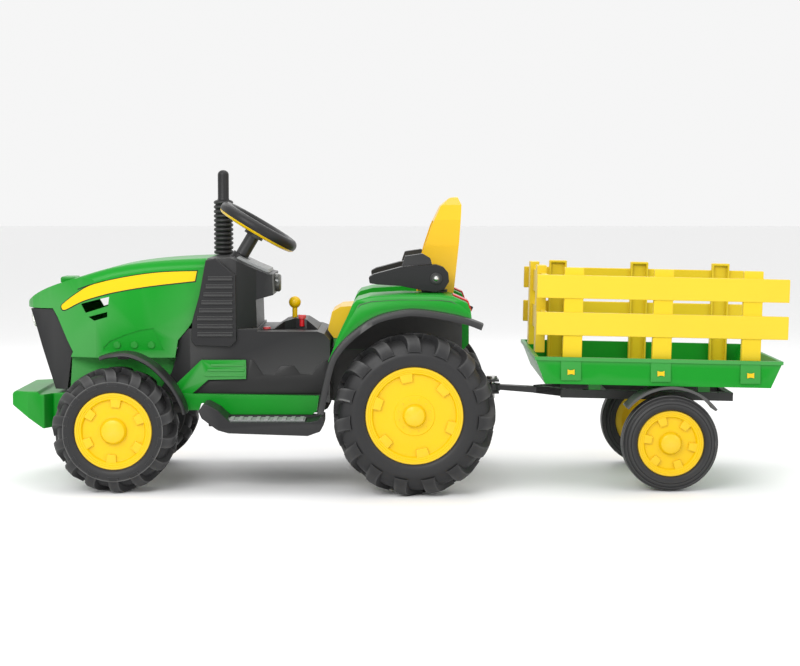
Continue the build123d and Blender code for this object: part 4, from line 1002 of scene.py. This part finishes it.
class TRACTOR_OT_finish_frame(bpy.types.Operator):
    """Give every CAD node its moulded or metal finish and round its sharp edges"""
    bl_idname = "tractor.finish_frame"
    bl_label = "Finish the frame"

    def execute(self, context):
        edge = sizes().edge
        for maker, names in NODE_FINISHES.items():
            for name in names:
                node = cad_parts[name]
                node.data.materials.clear()
                node.data.materials.append(maker())
        for name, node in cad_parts.items():
            weld = node.modifiers.new("Weld", "WELD")
            weld.merge_threshold = 0.00002
            if name in EDGE_SHARES:
                flats = node.modifiers.new("Merged flats", "DECIMATE")
                flats.decimate_type = "DISSOLVE"
                flats.angle_limit = math.radians(0.5)
                rounding = node.modifiers.new("Rounding", "BEVEL")
                rounding.width = edge * EDGE_SHARES[name]
                rounding.segments = 3
                rounding.limit_method = "ANGLE"
                rounding.angle_limit = math.radians(10 if name in FACETED_NODES else 35)
            smooth = node.modifiers.new("Even shading", "WEIGHTED_NORMAL")
            smooth.keep_sharp = True
        return {"FINISHED"}


# ---- stage ----
CAMERA_PLACE = (0.010, -4.300, 0.690)
CAMERA_PITCH = math.radians(85.4324398)
SENSOR_WIDTH = 36
LENS_LENGTH = 80.55
SKY_STRENGTH = 0.92


def area_light(name, place, target, size, power, colour=(1, 1, 1)):
    """A large soft lamp aimed at a point."""
    bpy.ops.object.light_add(type="AREA", location=place)
    lamp = bpy.context.object
    lamp.name = name
    lamp.data.shape = "RECTANGLE"
    lamp.data.size = size[0]
    lamp.data.size_y = size[1]
    lamp.data.energy = power
    lamp.data.color = colour
    lamp.rotation_euler = (Vector(target) - Vector(place)).to_track_quat("-Z", "Y").to_euler()
    return lamp


class TRACTOR_OT_stage(bpy.types.Operator):
    """Pale floor, soft studio lamps and the side camera"""
    bl_idname = "tractor.stage"
    bl_label = "Stage, lamps and camera"

    def execute(self, context):
        floor = start_piece("studio_floor", (0, 0, -0.0004), "plane", size=60)
        finish = bpy.data.materials.new("Studio floor")
        finish.use_nodes = True
        shader = finish.node_tree.nodes["Principled BSDF"]
        shader.inputs["Base Color"].default_value = (0.93, 0.93, 0.93, 1)
        shader.inputs["Roughness"].default_value = 0.6
        floor.data.materials.append(finish)
        world = bpy.data.worlds.new("Studio sky")
        world.use_nodes = True
        world.node_tree.nodes["Background"].inputs["Color"].default_value = (1, 1, 1, 1)
        world.node_tree.nodes["Background"].inputs["Strength"].default_value = SKY_STRENGTH
        context.scene.world = world
        area_light("key_lamp", (-1.4, -2.9, 2.3), (0, 0, 0.3), (2.4, 1.6), 80)
        area_light("top_lamp", (0.3, 0.4, 3.4), (0, 0, 0.2), (3.4, 2.2), 34)
        area_light("fill_lamp", (2.6, -2.4, 1.6), (0, 0, 0.3), (1.6, 1.6), 18)
        area_light("back_lamp", (-0.5, 3.0, 2.2), (0, 0, 0.4), (3.0, 1.4), 20)
        camera_data = bpy.data.cameras.new("studio_camera")
        camera_data.sensor_width = SENSOR_WIDTH
        camera_data.lens = LENS_LENGTH
        camera = bpy.data.objects.new("studio_camera", camera_data)
        camera.location = CAMERA_PLACE
        camera.rotation_euler = (CAMERA_PITCH, 0, 0)
        context.scene.collection.objects.link(camera)
        context.scene.camera = camera
        context.scene.view_settings.view_transform = "Standard"
        return {"FINISHED"}


class TRACTOR_PT_builder(bpy.types.Panel):
    """Sizes, colours and one button for each group of pieces"""
    bl_label = "Ride-on tractor"
    bl_idname = "TRACTOR_PT_builder"
    bl_space_type = "VIEW_3D"
    bl_region_type = "UI"
    bl_category = "Tractor"

    def draw(self, context):
        layout = self.layout
        for group in (context.scene.tractor_colours, context.scene.tractor_sizes):
            for name in group.__annotations__:
                layout.prop(group, name)
        for step in STEPS:
            layout.operator(step.bl_idname)


STEPS = [TRACTOR_OT_finish_frame, TRACTOR_OT_lugged_tyres, TRACTOR_OT_trailer_tyres, TRACTOR_OT_rims,
         TRACTOR_OT_hood_films, TRACTOR_OT_trailer_clips, TRACTOR_OT_armrest_details,
         TRACTOR_OT_fender_mouldings, TRACTOR_OT_body_details, TRACTOR_OT_exhaust, TRACTOR_OT_stage]
CLASSES = [TractorColours, TractorSizes, *STEPS, TRACTOR_PT_builder]


def register():
    for item in CLASSES:
        bpy.utils.register_class(item)
    bpy.types.Scene.tractor_colours = PointerProperty(type=TractorColours)
    bpy.types.Scene.tractor_sizes = PointerProperty(type=TractorSizes)


def unregister():
    del bpy.types.Scene.tractor_sizes
    del bpy.types.Scene.tractor_colours
    for item in reversed(CLASSES):
        bpy.utils.unregister_class(item)


def main():
    register()
    for step in STEPS:
        family, action = step.bl_idname.split(".")
        getattr(getattr(bpy.ops, family), action)()


if __name__ == "__main__":
    main()
